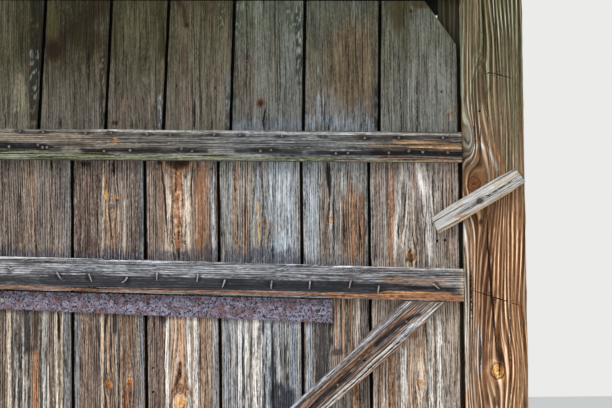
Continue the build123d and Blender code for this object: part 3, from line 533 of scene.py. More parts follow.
def crack(points, width=1.6):
    return {"crack": (points, width)}


def distance_to(u, w, points):
    """Distance from each (u, w) to a line through points."""
    best = np.full(u.shape, 1e9)
    for (u0, w0), (u1, w1) in zip(points, points[1:]):
        du, dw = u1 - u0, w1 - w0
        t = np.clip(((u - u0) * du + (w - w0) * dw) / (du * du + dw * dw + 1e-9), 0, 1)
        best = np.minimum(best, np.hypot(u - u0 - t * du, w - w0 - t * dw))
    return best


# How far a point without a crack counts as being from one, and the parts of a plank's ring
NO_CRACK = 40.0
FRONT, SIDE, BACK = 0, 1, 2


class Face:
    """A worn wood face while it is painted, each array with one value a point.

    u and w are the places across and along the piece, g is u with the grain's bends. knots and
    crack_at hold each point's place in its nearest knot, and its distance to its nearest crack.
    """

    def __init__(self, wood, u, w, to_local):
        self.u, self.w, self.to_local, self.seed = u, w, to_local, wood["seed"]
        marks = wood.get("marks", [])
        flow, seed = wood.get("flow", 6.0), self.seed
        self.g = u + flow * noise(u / 90, w / 420, seed)
        self.g = self.g + 0.25 * flow * noise(u / 30, w / 140, seed + 3)
        for mark in marks:
            if "bend" in mark:
                self.g = mark["bend"](self)
        broad, middle = self.fractal(26, 480, 1), self.fractal(8.5, 210, 2)
        small = self.fractal(4.2, 90, 4, 2)
        self.tint = self.first_tint(wood, 1.3 * broad + 0.8 * middle + 0.5 * small)
        self.contrast = np.full(u.shape, wood.get("contrast", 0.3))
        self.nearest = np.full(u.shape, 1e9)
        self.knots = np.zeros(u.shape + (3,))
        self.crack_away = np.full(u.shape, NO_CRACK)
        self.crack_at = np.zeros(u.shape + (3,))
        self.crack_at[..., 0] = NO_CRACK
        for points, width in [mark["crack"] for mark in marks if "crack" in mark]:
            self.add_crack([to_local(*p) for p in points], width)
        if marks or wood.get("cracks"):
            self.add_chance_cracks(wood)
        rough = wood.get("rough", 1.0)
        depth = rough * (0.35 * np.clip(-middle, 0, 1) + 0.45 * np.clip(-broad, 0, 1)) * 1.6
        depth = depth + rough * 0.35 * np.clip(-small, 0, 1)
        depth = depth + wood.get("cup", 0.8) * (0.5 + 0.5 * noise(u / 120, w / 260, seed + 8))
        furrow = 0.8 * np.exp(-((self.crack_away / 2.8) ** 2))
        self.depth = depth + furrow * self.crack_at[..., 1] * self.crack_at[..., 2]
        for mark in marks:
            if "put" in mark:
                mark["put"](self)
        self.depth = np.maximum(self.depth, 0)

    def fractal(self, across, along, k, octaves=3):
        return fractal(self.g / across, self.w / along, self.seed + k, octaves)

    def first_tint(self, wood, tone):
        """The colours from end to end set by the stops, the wood's own colour and, on some pieces,
        painted shade; streaked pale and deep by tone.
        """
        stops = sorted((self.to_local(px, py)[1], colour) for px, py, colour in wood["stops"])
        places, colours = zip(*stops)
        channels = zip(*(linear(colour) for colour in colours))
        tint = np.stack([np.interp(self.w, places, channel) for channel in channels], -1)
        amount = wood.get("streaks", 0.5)
        for side, colour in ((tone, wood["pale"]), (-tone, wood["deep"])):
            tint = tint + np.clip(side, 0, 1)[..., None] * amount * (linear(colour) - tint)
        cloud = fractal(self.u / 60, self.w / 130, self.seed + 6)
        return tint * (1 + 0.16 * cloud[..., None])

    def add_chance_cracks(self, wood):
        rng = np.random.default_rng(900 + self.seed)
        low_u, high_u, low_w, high_w = self.u.min(), self.u.max(), self.w.min(), self.w.max()
        for _ in range(wood.get("cracks", 10)):
            u, w = rng.uniform(low_u + 4, high_u - 4), rng.uniform(low_w, high_w)
            reach = rng.uniform(40, 230) * wood.get("crack_length", 1.0)
            lean = rng.uniform(-0.012, 0.012)
            line = [(u + lean * q * reach + rng.uniform(-0.8, 0.8), w + q * reach)
                    for q in (-0.5, -0.15, 0.2, 0.5)]
            self.add_crack(line, rng.uniform(0.5, 1.15))

    def add_crack(self, line, width):
        """Takes the crack as their nearest one for the points that it lies nearest to."""
        total = sum(math.dist(a, b) for a, b in zip(line, line[1:]))
        run = 0.0
        for (u0, w0), (u1, w1) in zip(line, line[1:]):
            du, dw = u1 - u0, w1 - w0
            size = math.hypot(du, dw) + 1e-9
            t = np.clip(((self.u - u0) * du + (self.w - w0) * dw) / size**2, 0, 1)
            off_u, off_w = self.u - u0 - t * du, self.w - w0 - t * dw
            away = np.hypot(off_u, off_w)
            side = np.where(du * off_w - dw * off_u > 0, -1.0, 1.0)
            share = (run + t * size) / total
            taper = np.clip(4 * share * (1 - share), 0, 1)
            take = away < self.crack_away
            self.crack_away = np.where(take, away, self.crack_away)
            wide = width * np.exp(-((away / 7.0) ** 2))
            for axis, values in enumerate((side * away, taper, wide)):
                self.crack_at[..., axis] = np.where(take, values, self.crack_at[..., axis])
            run += size

    def nearest_knot(self, px, py, size, tall, kind):
        """Takes the knot (kind 1) or hole (kind 2) as their nearest for the points round it."""
        ku, kw = self.to_local(px, py)
        ku, kw = (self.u - ku) / size, (self.w - kw) / size / tall
        r = np.hypot(ku, kw)
        take = (r < self.nearest) & (r < 2.6)
        self.nearest = np.where(take, r, self.nearest)
        for axis, values in enumerate((ku, kw, kind)):
            self.knots[..., axis] = np.where(take, values, self.knots[..., axis])
        return r

    def beside(self, start, end):
        """Start's u, and each point's share of the way, offset to the side, and the length."""
        (u0, w0), (u1, w1) = self.to_local(*start), self.to_local(*end)
        share = (self.w - w0) / (w1 - w0)
        return u0, share, self.u - u0 - share * (u1 - u0), abs(w1 - w0)

    def blend(self, mask, colour):
        self.tint = self.tint + mask[..., None] * (linear(colour) - self.tint)

    def tint_over(self, mask, strength, colour):
        """Blends a colour in; a dark one also calms the fibres' contrast."""
        self.blend(mask * strength, colour)
        dark = max(colour) < 80
        self.contrast = self.contrast * (1 - 0.75 * mask * strength * dark)


def stations(length, row, split, ends):
    """Places of the rings as shares of the length, three times as far apart up to split."""
    if split >= 1:
        t = np.linspace(0, 1, max(int(length / (row * 3)), 4) + 1)
    elif split > 0:
        far = np.linspace(0, split, max(int(length * split / (row * 3)), 4), endpoint=False)
        near = np.linspace(split, 1, max(int(length * (1 - split) / row), 4) + 1)
        t = np.concatenate([far, near])
    else:
        t = np.linspace(0, 1, max(int(length / row), 4) + 1)
    inset = min(ends / length, 0.2)
    return np.concatenate([[0, inset], t[1:-1], [1 - inset, 1]])


def plank(node, corners, front, thickness, wood, material, body, slot, along_axis=(0, 1),
          column=2.0, row=3.8, low_side=None, high_side=None, low_edge=None, high_edge=None,
          wobble=1.0, round_by=1.6, coarse_below=-math.inf, back_wood=None, ends=1.2):
    """A worn board in the node's place, on the quadrilateral corners.

    corners are X, Z pairs: low start, high start, low end, high end. low and high are its two
    long edges. Each long side follows a list of (outward, depth, darkness) points from front to
    back; darkness is painted shade on the side. low_edge and high_edge say how far the edges lie
    inside the corners' lines.
    """
    ls, hs, le, he = [np.asarray(c, float) for c in corners]
    axis = np.asarray(along_axis, float)
    axis = axis / np.linalg.norm(axis)
    across_axis = np.array([axis[1], -axis[0]])
    flip = bool(np.dot(hs - ls, across_axis) < 0)
    if flip:
        across_axis = -across_axis
    length = 0.5 * (np.linalg.norm(le - ls) + np.linalg.norm(he - hs))
    width = 0.5 * abs(np.dot(hs - ls, across_axis) + np.dot(he - le, across_axis))
    seed = wood["seed"]

    def to_local(px, py):
        x, z = spot(px, py, front)
        return x * across_axis[0] + z * across_axis[1], x * axis[0] + z * axis[1]

    start_w = np.dot(0.5 * (ls + hs), axis)
    t = stations(length, row, (coarse_below - start_w) / length, ends)
    shrink = np.zeros(len(t))
    shrink[[0, -1]] = ends

    def inward(edge, place, k):
        """How far an edge lies inside, with the wavering of worn wood."""
        wave = 0.6 + 0.6 * fractal(t * length / 38, t * 0 + place, seed + k)
        inside = np.maximum(wobble * wave, 0)
        return shrink + (inside + edge(t) if edge else inside)

    low_in, high_in = inward(low_edge, 5, 50), inward(high_edge, 9, 60)
    # The plain side's third numbers are painted shade on the side.
    plain = [(0, round_by, 0.12), (0, thickness * 0.5, 0.3), (0, thickness - 1.2, 0.3)]
    low_side, high_side = low_side or plain, high_side or plain
    left, right_end = (low_in + round_by) / width, 1 - (high_in + round_by) / width
    back_left = (low_in - low_side[-1][0] + 1.2) / width
    back_right = 1 - (high_in - high_side[-1][0] + 1.2) / width
    # The ring: across the front, down the high side, back behind, and up the low side
    ring = []
    for share in np.linspace(0, 1, max(int((width - 2 * round_by) / column), 3) + 1):
        ring.append((left + (right_end - left) * share, shrink, 0.0, FRONT))
    for out, d, dark in high_side:
        place, d = 1 - (high_in - out) / width, np.clip(d, shrink, thickness - shrink)
        ring.append((place, d, dark, SIDE))
    for share in np.linspace(1, 0, max(int(width / max(column * 3, 9)), 2) + 1):
        place = back_left + (back_right - back_left) * share
        ring.append((place, thickness - shrink, 0.0, BACK))
    for out, d, dark in low_side[::-1]:
        place, d = (low_in - out) / width, np.clip(d, shrink, thickness - shrink)
        ring.append((place, d, dark, SIDE))
    s, d, dark, zone = (np.stack([np.broadcast_to(part, t.shape) for part in parts], 1)
                        for parts in zip(*ring))
    tt = t[:, None] + 0 * s
    point = (
        (1 - tt)[..., None] * ((1 - s)[..., None] * ls + s[..., None] * hs)
        + tt[..., None] * ((1 - s)[..., None] * le + s[..., None] * he)
    )
    u, w = point @ across_axis, point @ axis
    face = Face(wood, u, w, to_local)
    behind = Face(back_wood or {**wood, "marks": []}, u + 57.0, w, to_local)
    is_back = zone == BACK
    face.knots[is_back] = 0
    face.crack_at[is_back] = (NO_CRACK, 0, 0)
    # Each side point's darkness is painted shade, multiplied into the tint and into the fibres'
    # contrast.
    tint = np.where(is_back[..., None], behind.tint, face.tint) * (1 - dark[..., None])
    sunk = np.where(is_back, 0.5 * behind.depth, face.depth)
    # The long edges round off a little more where the wood has worn
    near = np.minimum((s - left[:, None]) * width, (right_end[:, None] - s) * width)
    wear = np.exp(-np.maximum(near, 0) / 2.4) * (0.7 + 0.6 * fractal(w / 22, u / 22, seed + 70))
    sunk = sunk + np.where(zone == FRONT, 1.1 * np.clip(wear, 0, 1.5), 0)
    sunk = np.minimum(sunk, thickness * 0.45)
    depth = np.where(zone == FRONT, d + sunk, np.where(is_back, d - sunk, d))
    points = np.stack([point[..., 0], front + depth, point[..., 1]], -1).reshape(-1, 3)
    contrast = face.contrast * (1 - dark)
    colours = np.concatenate([tint, contrast[..., None]], -1)
    vectors = {
        "grain": np.stack([face.g + 0.35 * depth * (zone == SIDE), w, 0 * w + 3.1 * seed], -1),
        "knot": face.knots,
        "crack": face.crack_at,
    }
    return make_piece("worn_" + node, points, tube_faces(*s.shape, flip), material, body, slot,
                      [node], colours=np.clip(colours, 0, 1), vectors=vectors)


def solids(node):
    """The separate solids of a CAD node, as arrays of points in millimetres."""
    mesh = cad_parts[node].data
    points = np.empty(len(mesh.vertices) * 3)
    mesh.vertices.foreach_get("co", points)
    points = points.reshape(-1, 3) / MM
    _, same = np.unique(np.round(points, 2), axis=0, return_inverse=True)
    same = same.ravel()
    parent = list(range(same.max() + 1))

    def root(i):
        while parent[i] != i:
            parent[i] = parent[parent[i]]
            i = parent[i]
        return i

    for polygon in mesh.polygons:
        ids = [root(same[v]) for v in polygon.vertices]
        for i in ids[1:]:
            parent[root(i)] = root(ids[0])
    groups = {}
    for index, key in enumerate(same):
        groups.setdefault(root(key), []).append(index)
    return [points[index] for index in groups.values()]


def middle_of(points):
    return (points.min(0) + points.max(0)) / 2


# Sizes shared with the source
LEAF_LEFT, LEAF_RIGHT, LEAF_BOTTOM, LEAF_TOP = -553.5, 553.5, 120.0, 1952.5
BOARD_THICKNESS, LAP_FACE, BOARD_GAP, LAP, TONGUE_GAP, BUTT_GAP = 26.0, 13.0, 5.0, 8.0, 2.0, 2.0
BATTEN_RIGHT, BATTEN_THICKNESS, BATTEN_HALF = 559.0, 28.0, 31
FRAME_FRONT, FRAME_BACK, HINGE_POST_FRONT = -4.0, 136.0, 2.0
OPENING_HALF, FRAME_HALF = 561.0, 690.0
SILL_TOP, HEAD_BOTTOM, HEAD_TOP = 110.0, 1960.5, 2090.5
UPPER_WIDTHS = [118, 125.5, 137.5, 119.5, 138, 150, 156, 162.5]
UPPER_LEANS = [0, 13, 17, 15.5, 14, 11.5, 7, 6, 0]
LOWER_WIDTHS = [158, 156, 148.5, 151.5, 170.5, 138.5, 184]
LOWER_DRIFTS = [0, 3, 3, 8, 6, -2, 1, -5]
CORNER_CUT_WIDTH, CORNER_CUT_HEIGHT = 64.5, 90.0
# Rings are further apart below this height, which the view doesn't show
UNSEEN_BELOW, ALL_UNSEEN = 1080, 3000


def level(x, start, fall):
    """Height at x of a line that starts at the hinge side and falls towards the latch side."""
    return start - fall * (x - LEAF_LEFT) / (BATTEN_RIGHT - LEAF_LEFT)


def leaf_top(x):
    return level(x, LEAF_TOP, 12.5)


def upper_middle(x):
    return level(x, LEAF_TOP - 299.5, 18)


def middle_top(x):
    return level(x, LEAF_TOP - 558.5 + 34, 41)


def middle_bottom(x):
    return level(x, LEAF_TOP - 558.5 - 34, 40)


def lower_middle(x):
    return level(x, LEAF_BOTTOM + 292, 14)


BLACK, SOOT, STAIN, BLACK_STAIN = (14, 12, 9), (28, 24, 21), (64, 66, 80), (26, 24, 26)
WHITE, PALE, GREY, BLUE = (238, 232, 224), (208, 192, 168), (178, 174, 168), (120, 128, 136)
RUST, TAN, UMBER = (154, 96, 52), (178, 138, 106), (104, 80, 68)
upper_wood = worn_wood("upper_board_wood", fibre=0.5, drift=0.018, pale=(150, 148, 136),
                       pale_amount=0.45, ring_step=4.6, ring_amount=0.35, own=0.7)
lower_wood = worn_wood("lower_board_wood", fibre=0.62, drift=0.017, pale=(222, 214, 206),
                       pale_amount=0.8, deep=(30, 22, 18), deep_amount=0.8, ring_step=4.8,
                       ring_amount=0.6, own=0.6, lift=(2.1, 2.1, 2.1))
batten_wood = worn_wood("batten_wood", fibre=0.62, drift=0.012, pale=(206, 206, 206),
                        pale_amount=0.75, deep=(22, 19, 18), deep_amount=0.8, ring_step=4.4,
                        ring_amount=0.6, own=0.6, lift=(2.1, 2.1, 2.1))
frame_wood = worn_wood("frame_wood", fibre=0.42, drift=0.004, pale=(236, 208, 174),
                       deep=(50, 30, 18), pale_amount=0.3, ring_step=8.0, ring_amount=1.0,
                       own=0.9, fibres=0.75, gap=(0.6, 0.45, 0.33), lift=(3.0, 3.8, 4.9))
button_wood = worn_wood("button_wood", fibre=0.5, pale=(224, 222, 218), pale_amount=0.5,
                        ring_step=4.5, ring_amount=0.4)

# The woods. Their stops give the colour down the piece at pixels of the view; then come the
# colours of pale and deep streaks, and the marks read from the photo.
# The upper boards' stops grow darker towards the top: painted shade over the boards' own colour.
UPPER_WOODS = [
    dict(
        stops=[(0, 0, (52, 49, 30)), (0, 60, (66, 61, 43)), (0, 125, (98, 92, 78))],
        pale=(98, 92, 76), deep=(30, 27, 14)),
    dict(
        stops=[(15, 0, (52, 48, 25)), (15, 60, (65, 60, 41)), (15, 105, (100, 94, 80)),
               (15, 127, (112, 106, 94))],
        pale=(116, 110, 94), deep=(34, 31, 14),
        marks=[
            *stripes(-60, 70, (31.5, 3, (34, 31, 16)), (38, 10, (26, 23, 11))),
            *stripes(60, 140, (34, 9.5, (46, 42, 36))),
            bark((34, 14), (35, 30), 8, (34, 30, 15), (72, 66, 40)),
            bark((33.5, 50), (34, 100), 9),
            bark((32, 100), (33, 132), 6, (52, 46, 38), (104, 98, 84)),
            blob(20, 98, 15, 44, (136, 130, 108), 0.75, 0.8),
            blob(16, 110, 5, 6, (166, 158, 136), 0.7, 0.6),
            blob(29, 68, 3, 6, (96, 64, 36), 0.7, 0.8), crack([(5.5, 114), (5.8, 130)], 1.8),
            *lines(
                (36, 31, 18), (20, 0, 120, 0.9), (8, 40, 127, 0.9), (13, 10, 90, 0.7),
                (25, 20, 84, 0.7), (2, 0, 110, 0.8)),
        ]),
    dict(
        stops=[(70, 0, (46, 41, 20)), (70, 60, (66, 59, 42)), (70, 105, (94, 87, 77)),
               (70, 127, (104, 97, 88))],
        pale=(108, 101, 88), deep=(32, 27, 14),
        marks=[
            streak([(112, -6), (90, 14), (70, 30), (56, 46)], 26, (36, 27, 11), 0.85),
            blob(88, 40, 34, 30, (44, 36, 17), 0.75, 0.8),
            blob(54, 52, 18, 24, (36, 22, 9), 0.9, 0.7),
            blob(52, 22, 14, 44, (66, 61, 32), 0.8, 0.5),
            streak([(47, 60), (60, 59)], 2.2, (64, 38, 20), 0.7),
            crack([(60.5, 119), (61, 128)], 2.6),
            bark((101.5, 54), (102.5, 130), 4.5, (40, 34, 26), (104, 98, 82)),
            loop(80, 66, 22, 46, 9), blob(70, 92, 24, 44, (92, 86, 74), 0.5, 0.9),
            *lines(
                (38, 32, 20), (88, 50, 127, 0.8), (76, 76, 127, 0.9), (66, 80, 120, 0.8),
                (52, 66, 127, 0.8), (94, 60, 120, 0.8)),
        ]),
    dict(
        stops=[(135, 0, (64, 60, 36)), (135, 60, (82, 76, 58)), (135, 105, (96, 88, 78)),
               (135, 127, (104, 96, 86))],
        pale=(114, 106, 90), deep=(40, 36, 20),
        marks=[
            *stripes(-60, 60, (114, 7, (58, 54, 34)), (162, 6, (50, 46, 26))),
            loop(141, 76, 14, 66, 9), loop(141, 74, 6, 34, 5),
            blob(145, 58.5, 5, 5, (58, 32, 18), 0.95, 0.5),
            blob(143.5, 57.5, 1.6, 1.6, (110, 62, 40), 0.8, 0.3),
            blob(115, 123, 7, 5.5, (20, 18, 16), 0.95, 0.4, 1),
            streak([(114.5, 120), (114.5, 126)], 0.9, (96, 86, 78), 0.8),
            blob(119, 84, 2, 2, BLACK, 1, 0.1, 3),
            bark((160, 98), (159, 131), 5, (84, 82, 78), (150, 154, 156)),
            blob(124, 104, 9, 24, (112, 92, 80), 0.6, 0.8),
            *lines(
                (48, 42, 28), (129, 60, 90, 0.8), (131, 66, 96, 0.8), (150, 70, 127, 0.8),
                (135, 100, 128, 0.9), (122, 60, 127, 0.8)),
            crack([(132, 119), (133, 130)], 1.6), crack([(137, 121), (137.5, 131)], 1.2),
        ]),
    dict(
        stops=[(197, 0, (66, 60, 38)), (197, 40, (86, 80, 62)), (197, 70, (94, 87, 72)),
               (197, 105, (104, 96, 86)), (197, 127, (112, 104, 94))],
        pale=(120, 113, 98), deep=(48, 41, 26),
        marks=[
            streak([(174, -4), (184, 8), (187, 26)], 8, (46, 32, 13), 0.9),
            streak([(196, -4), (208, 12)], 6, (62, 52, 28), 0.7),
            blob(184, 56, 8, 50, (68, 52, 36), 0.7, 0.9),
            blob(187, 25, 5, 6, (40, 25, 12), 0.95, 0.6),
            bark((221, 2), (222, 30), 6, (58, 56, 38), (118, 124, 104)),
            blob(227.5, 100, 5, 90, (84, 90, 90), 0.8, 1),
            bark((228, 92), (228, 132), 5, (66, 68, 68), (132, 138, 140)),
            blob(186, 104, 10, 40, (112, 92, 80), 0.55, 0.8),
            crack([(194.5, 98), (194.8, 131)], 2.6), crack([(212, 118), (212.4, 131)], 1.6),
            blob(176.5, 86, 2, 2, BLACK, 0.9, 0.1, 2.5), blob(215, 88, 2, 2, BLACK, 0.9, 0.1, 2.5),
            *lines(
                (56, 50, 34), (200, 20, 127, 0.9), (206, 10, 120, 0.8), (191, 60, 100, 0.9),
                (176, 40, 127, 0.8), (216, 60, 127, 0.7)),
        ]),
    dict(
        stops=[(268, 0, (84, 89, 75)), (268, 50, (98, 98, 86)), (268, 90, (104, 102, 95)),
               (268, 127, (108, 110, 108))],
        pale=(128, 136, 126), deep=(58, 56, 44), rough=1.4,
        marks=[
            blob(246, 88, 22, 70, (106, 94, 84), 0.6, 0.9),
            blob(288, 60, 18, 80, (112, 118, 112), 0.6, 0.9),
            hem([(230, 122), (305, 118)], 12, (124, 132, 146), 0.6, 30),
            blob(268, 124, 14, 14, (84, 84, 92), 0.6, 0.9),
            blob(260.6, 103, 9.5, 11, (112, 72, 40), 0.9, 0.3),
            blob(260.6, 103, 5.2, 7, (34, 28, 22), 0.95, 0.4),
            blob(259.4, 101.5, 1.5, 2, (96, 74, 52), 0.8, 0.3),
            crack([(265.5, 108), (263.5, 120), (264, 131)], 3),
            bark((238, -4), (240, 36), 9, (70, 74, 62), (118, 124, 106)),
            bark((289, 4), (292, 30), 10, (70, 76, 64), (112, 120, 104)),
            bark((298, 6), (299, 84), 6, (52, 54, 48), (142, 150, 144)),
            bark((236, 40), (235, 110), 3.5, (60, 58, 50), (110, 112, 92)),
            *lines(
                (56, 54, 44), (250, 10, 127, 0.8), (270, 0, 100, 0.9), (275, 20, 120, 0.8),
                (282, 84, 131, 0.8), (244, 60, 120, 0.7)),
        ]),
    dict(
        stops=[(340, 0, (74, 77, 60)), (340, 50, (94, 89, 74)), (340, 90, (106, 98, 86)),
               (340, 127, (118, 118, 118))],
        pale=(132, 132, 126), deep=(56, 48, 34),
        marks=[
            blob(350, 66, 44, 100, (100, 85, 64), 0.85, 0.9),
            blob(368, 70, 8, 110, (122, 104, 80), 0.6, 0.8),
            blob(316, 20, 14, 60, (78, 84, 74), 0.6, 0.8),
            hem([(305, 112), (378, 124)], 14, (138, 146, 154), 0.7, 30),
            blob(320, 104, 11, 26, (136, 140, 140), 0.75, 0.9),
            blob(331, 121, 5, 12, (76, 82, 96), 0.7, 0.8),
            *lines((158, 96, 54), (312.5, 106, 122, 1), (309, 112, 120, 0.8)),
            crack([(328.5, 124), (328.8, 132)], 1.8), crack([(361, 121), (361.5, 132)], 1.6),
            bark((376.5, 84), (376, 130), 4, (44, 42, 40), (110, 108, 104)),
            *lines(
                (54, 48, 36), (331, 20, 100, 0.9), (345, 10, 60, 0.8), (353, 0, 127, 0.9),
                (360, 40, 110, 0.8), (339, 50, 84, 0.7), (324, 20, 90, 0.8)),
            *lines(
                (160, 164, 162), (318, 60, 112, 0.7), (337, 108, 124, 0.8), (343, 112, 126, 0.8)),
        ]),
    dict(
        stops=[(418, 0, (62, 61, 40)), (418, 40, (92, 92, 76)), (418, 80, (108, 107, 98)),
               (418, 127, (118, 118, 112))],
        pale=(138, 140, 134), deep=(54, 52, 38),
        marks=[
            blob(398, 10, 18, 46, (62, 54, 28), 0.8, 0.8),
            blob(420, 4, 26, 10, (58, 50, 22), 0.8, 0.8),
            blob(411, 11, 4.5, 4.5, (84, 46, 20), 0.9, 0.4),
            blob(411, 11, 2.2, 2.2, BLACK, 1, 0.1, 2.5),
            blob(421.5, 6.5, 3.6, 3.6, (78, 44, 20), 0.9, 0.4),
            blob(421.5, 6.5, 1.8, 1.8, BLACK, 1, 0.1, 2.5),
            blob(387, 70, 9, 90, (98, 94, 76), 0.6, 0.7),
            blob(438, 74, 16, 60, (130, 132, 122), 0.5, 0.9),
            streak([(446, 117), (451, 112.5), (458, 110.5)], 2, (150, 92, 52), 0.85),
            streak([(448, 115), (453, 112)], 0.8, (48, 26, 14), 0.9),
            blob(451, 119, 5, 5, (150, 130, 116), 0.6, 0.8), hole(441.5, 92, 1.8),
            *lines(
                (56, 54, 42), (393.5, 40, 118, 1.4), (403, 0, 127, 0.8), (418, 30, 127, 0.9),
                (427, 70, 127, 0.9), (436, 40, 127, 0.7)),
            *lines(
                (158, 160, 156), (413, 66, 118, 0.9), (408, 84, 124, 0.8), (430, 60, 110, 0.7),
                (421, 96, 127, 0.8)),
        ]),
]
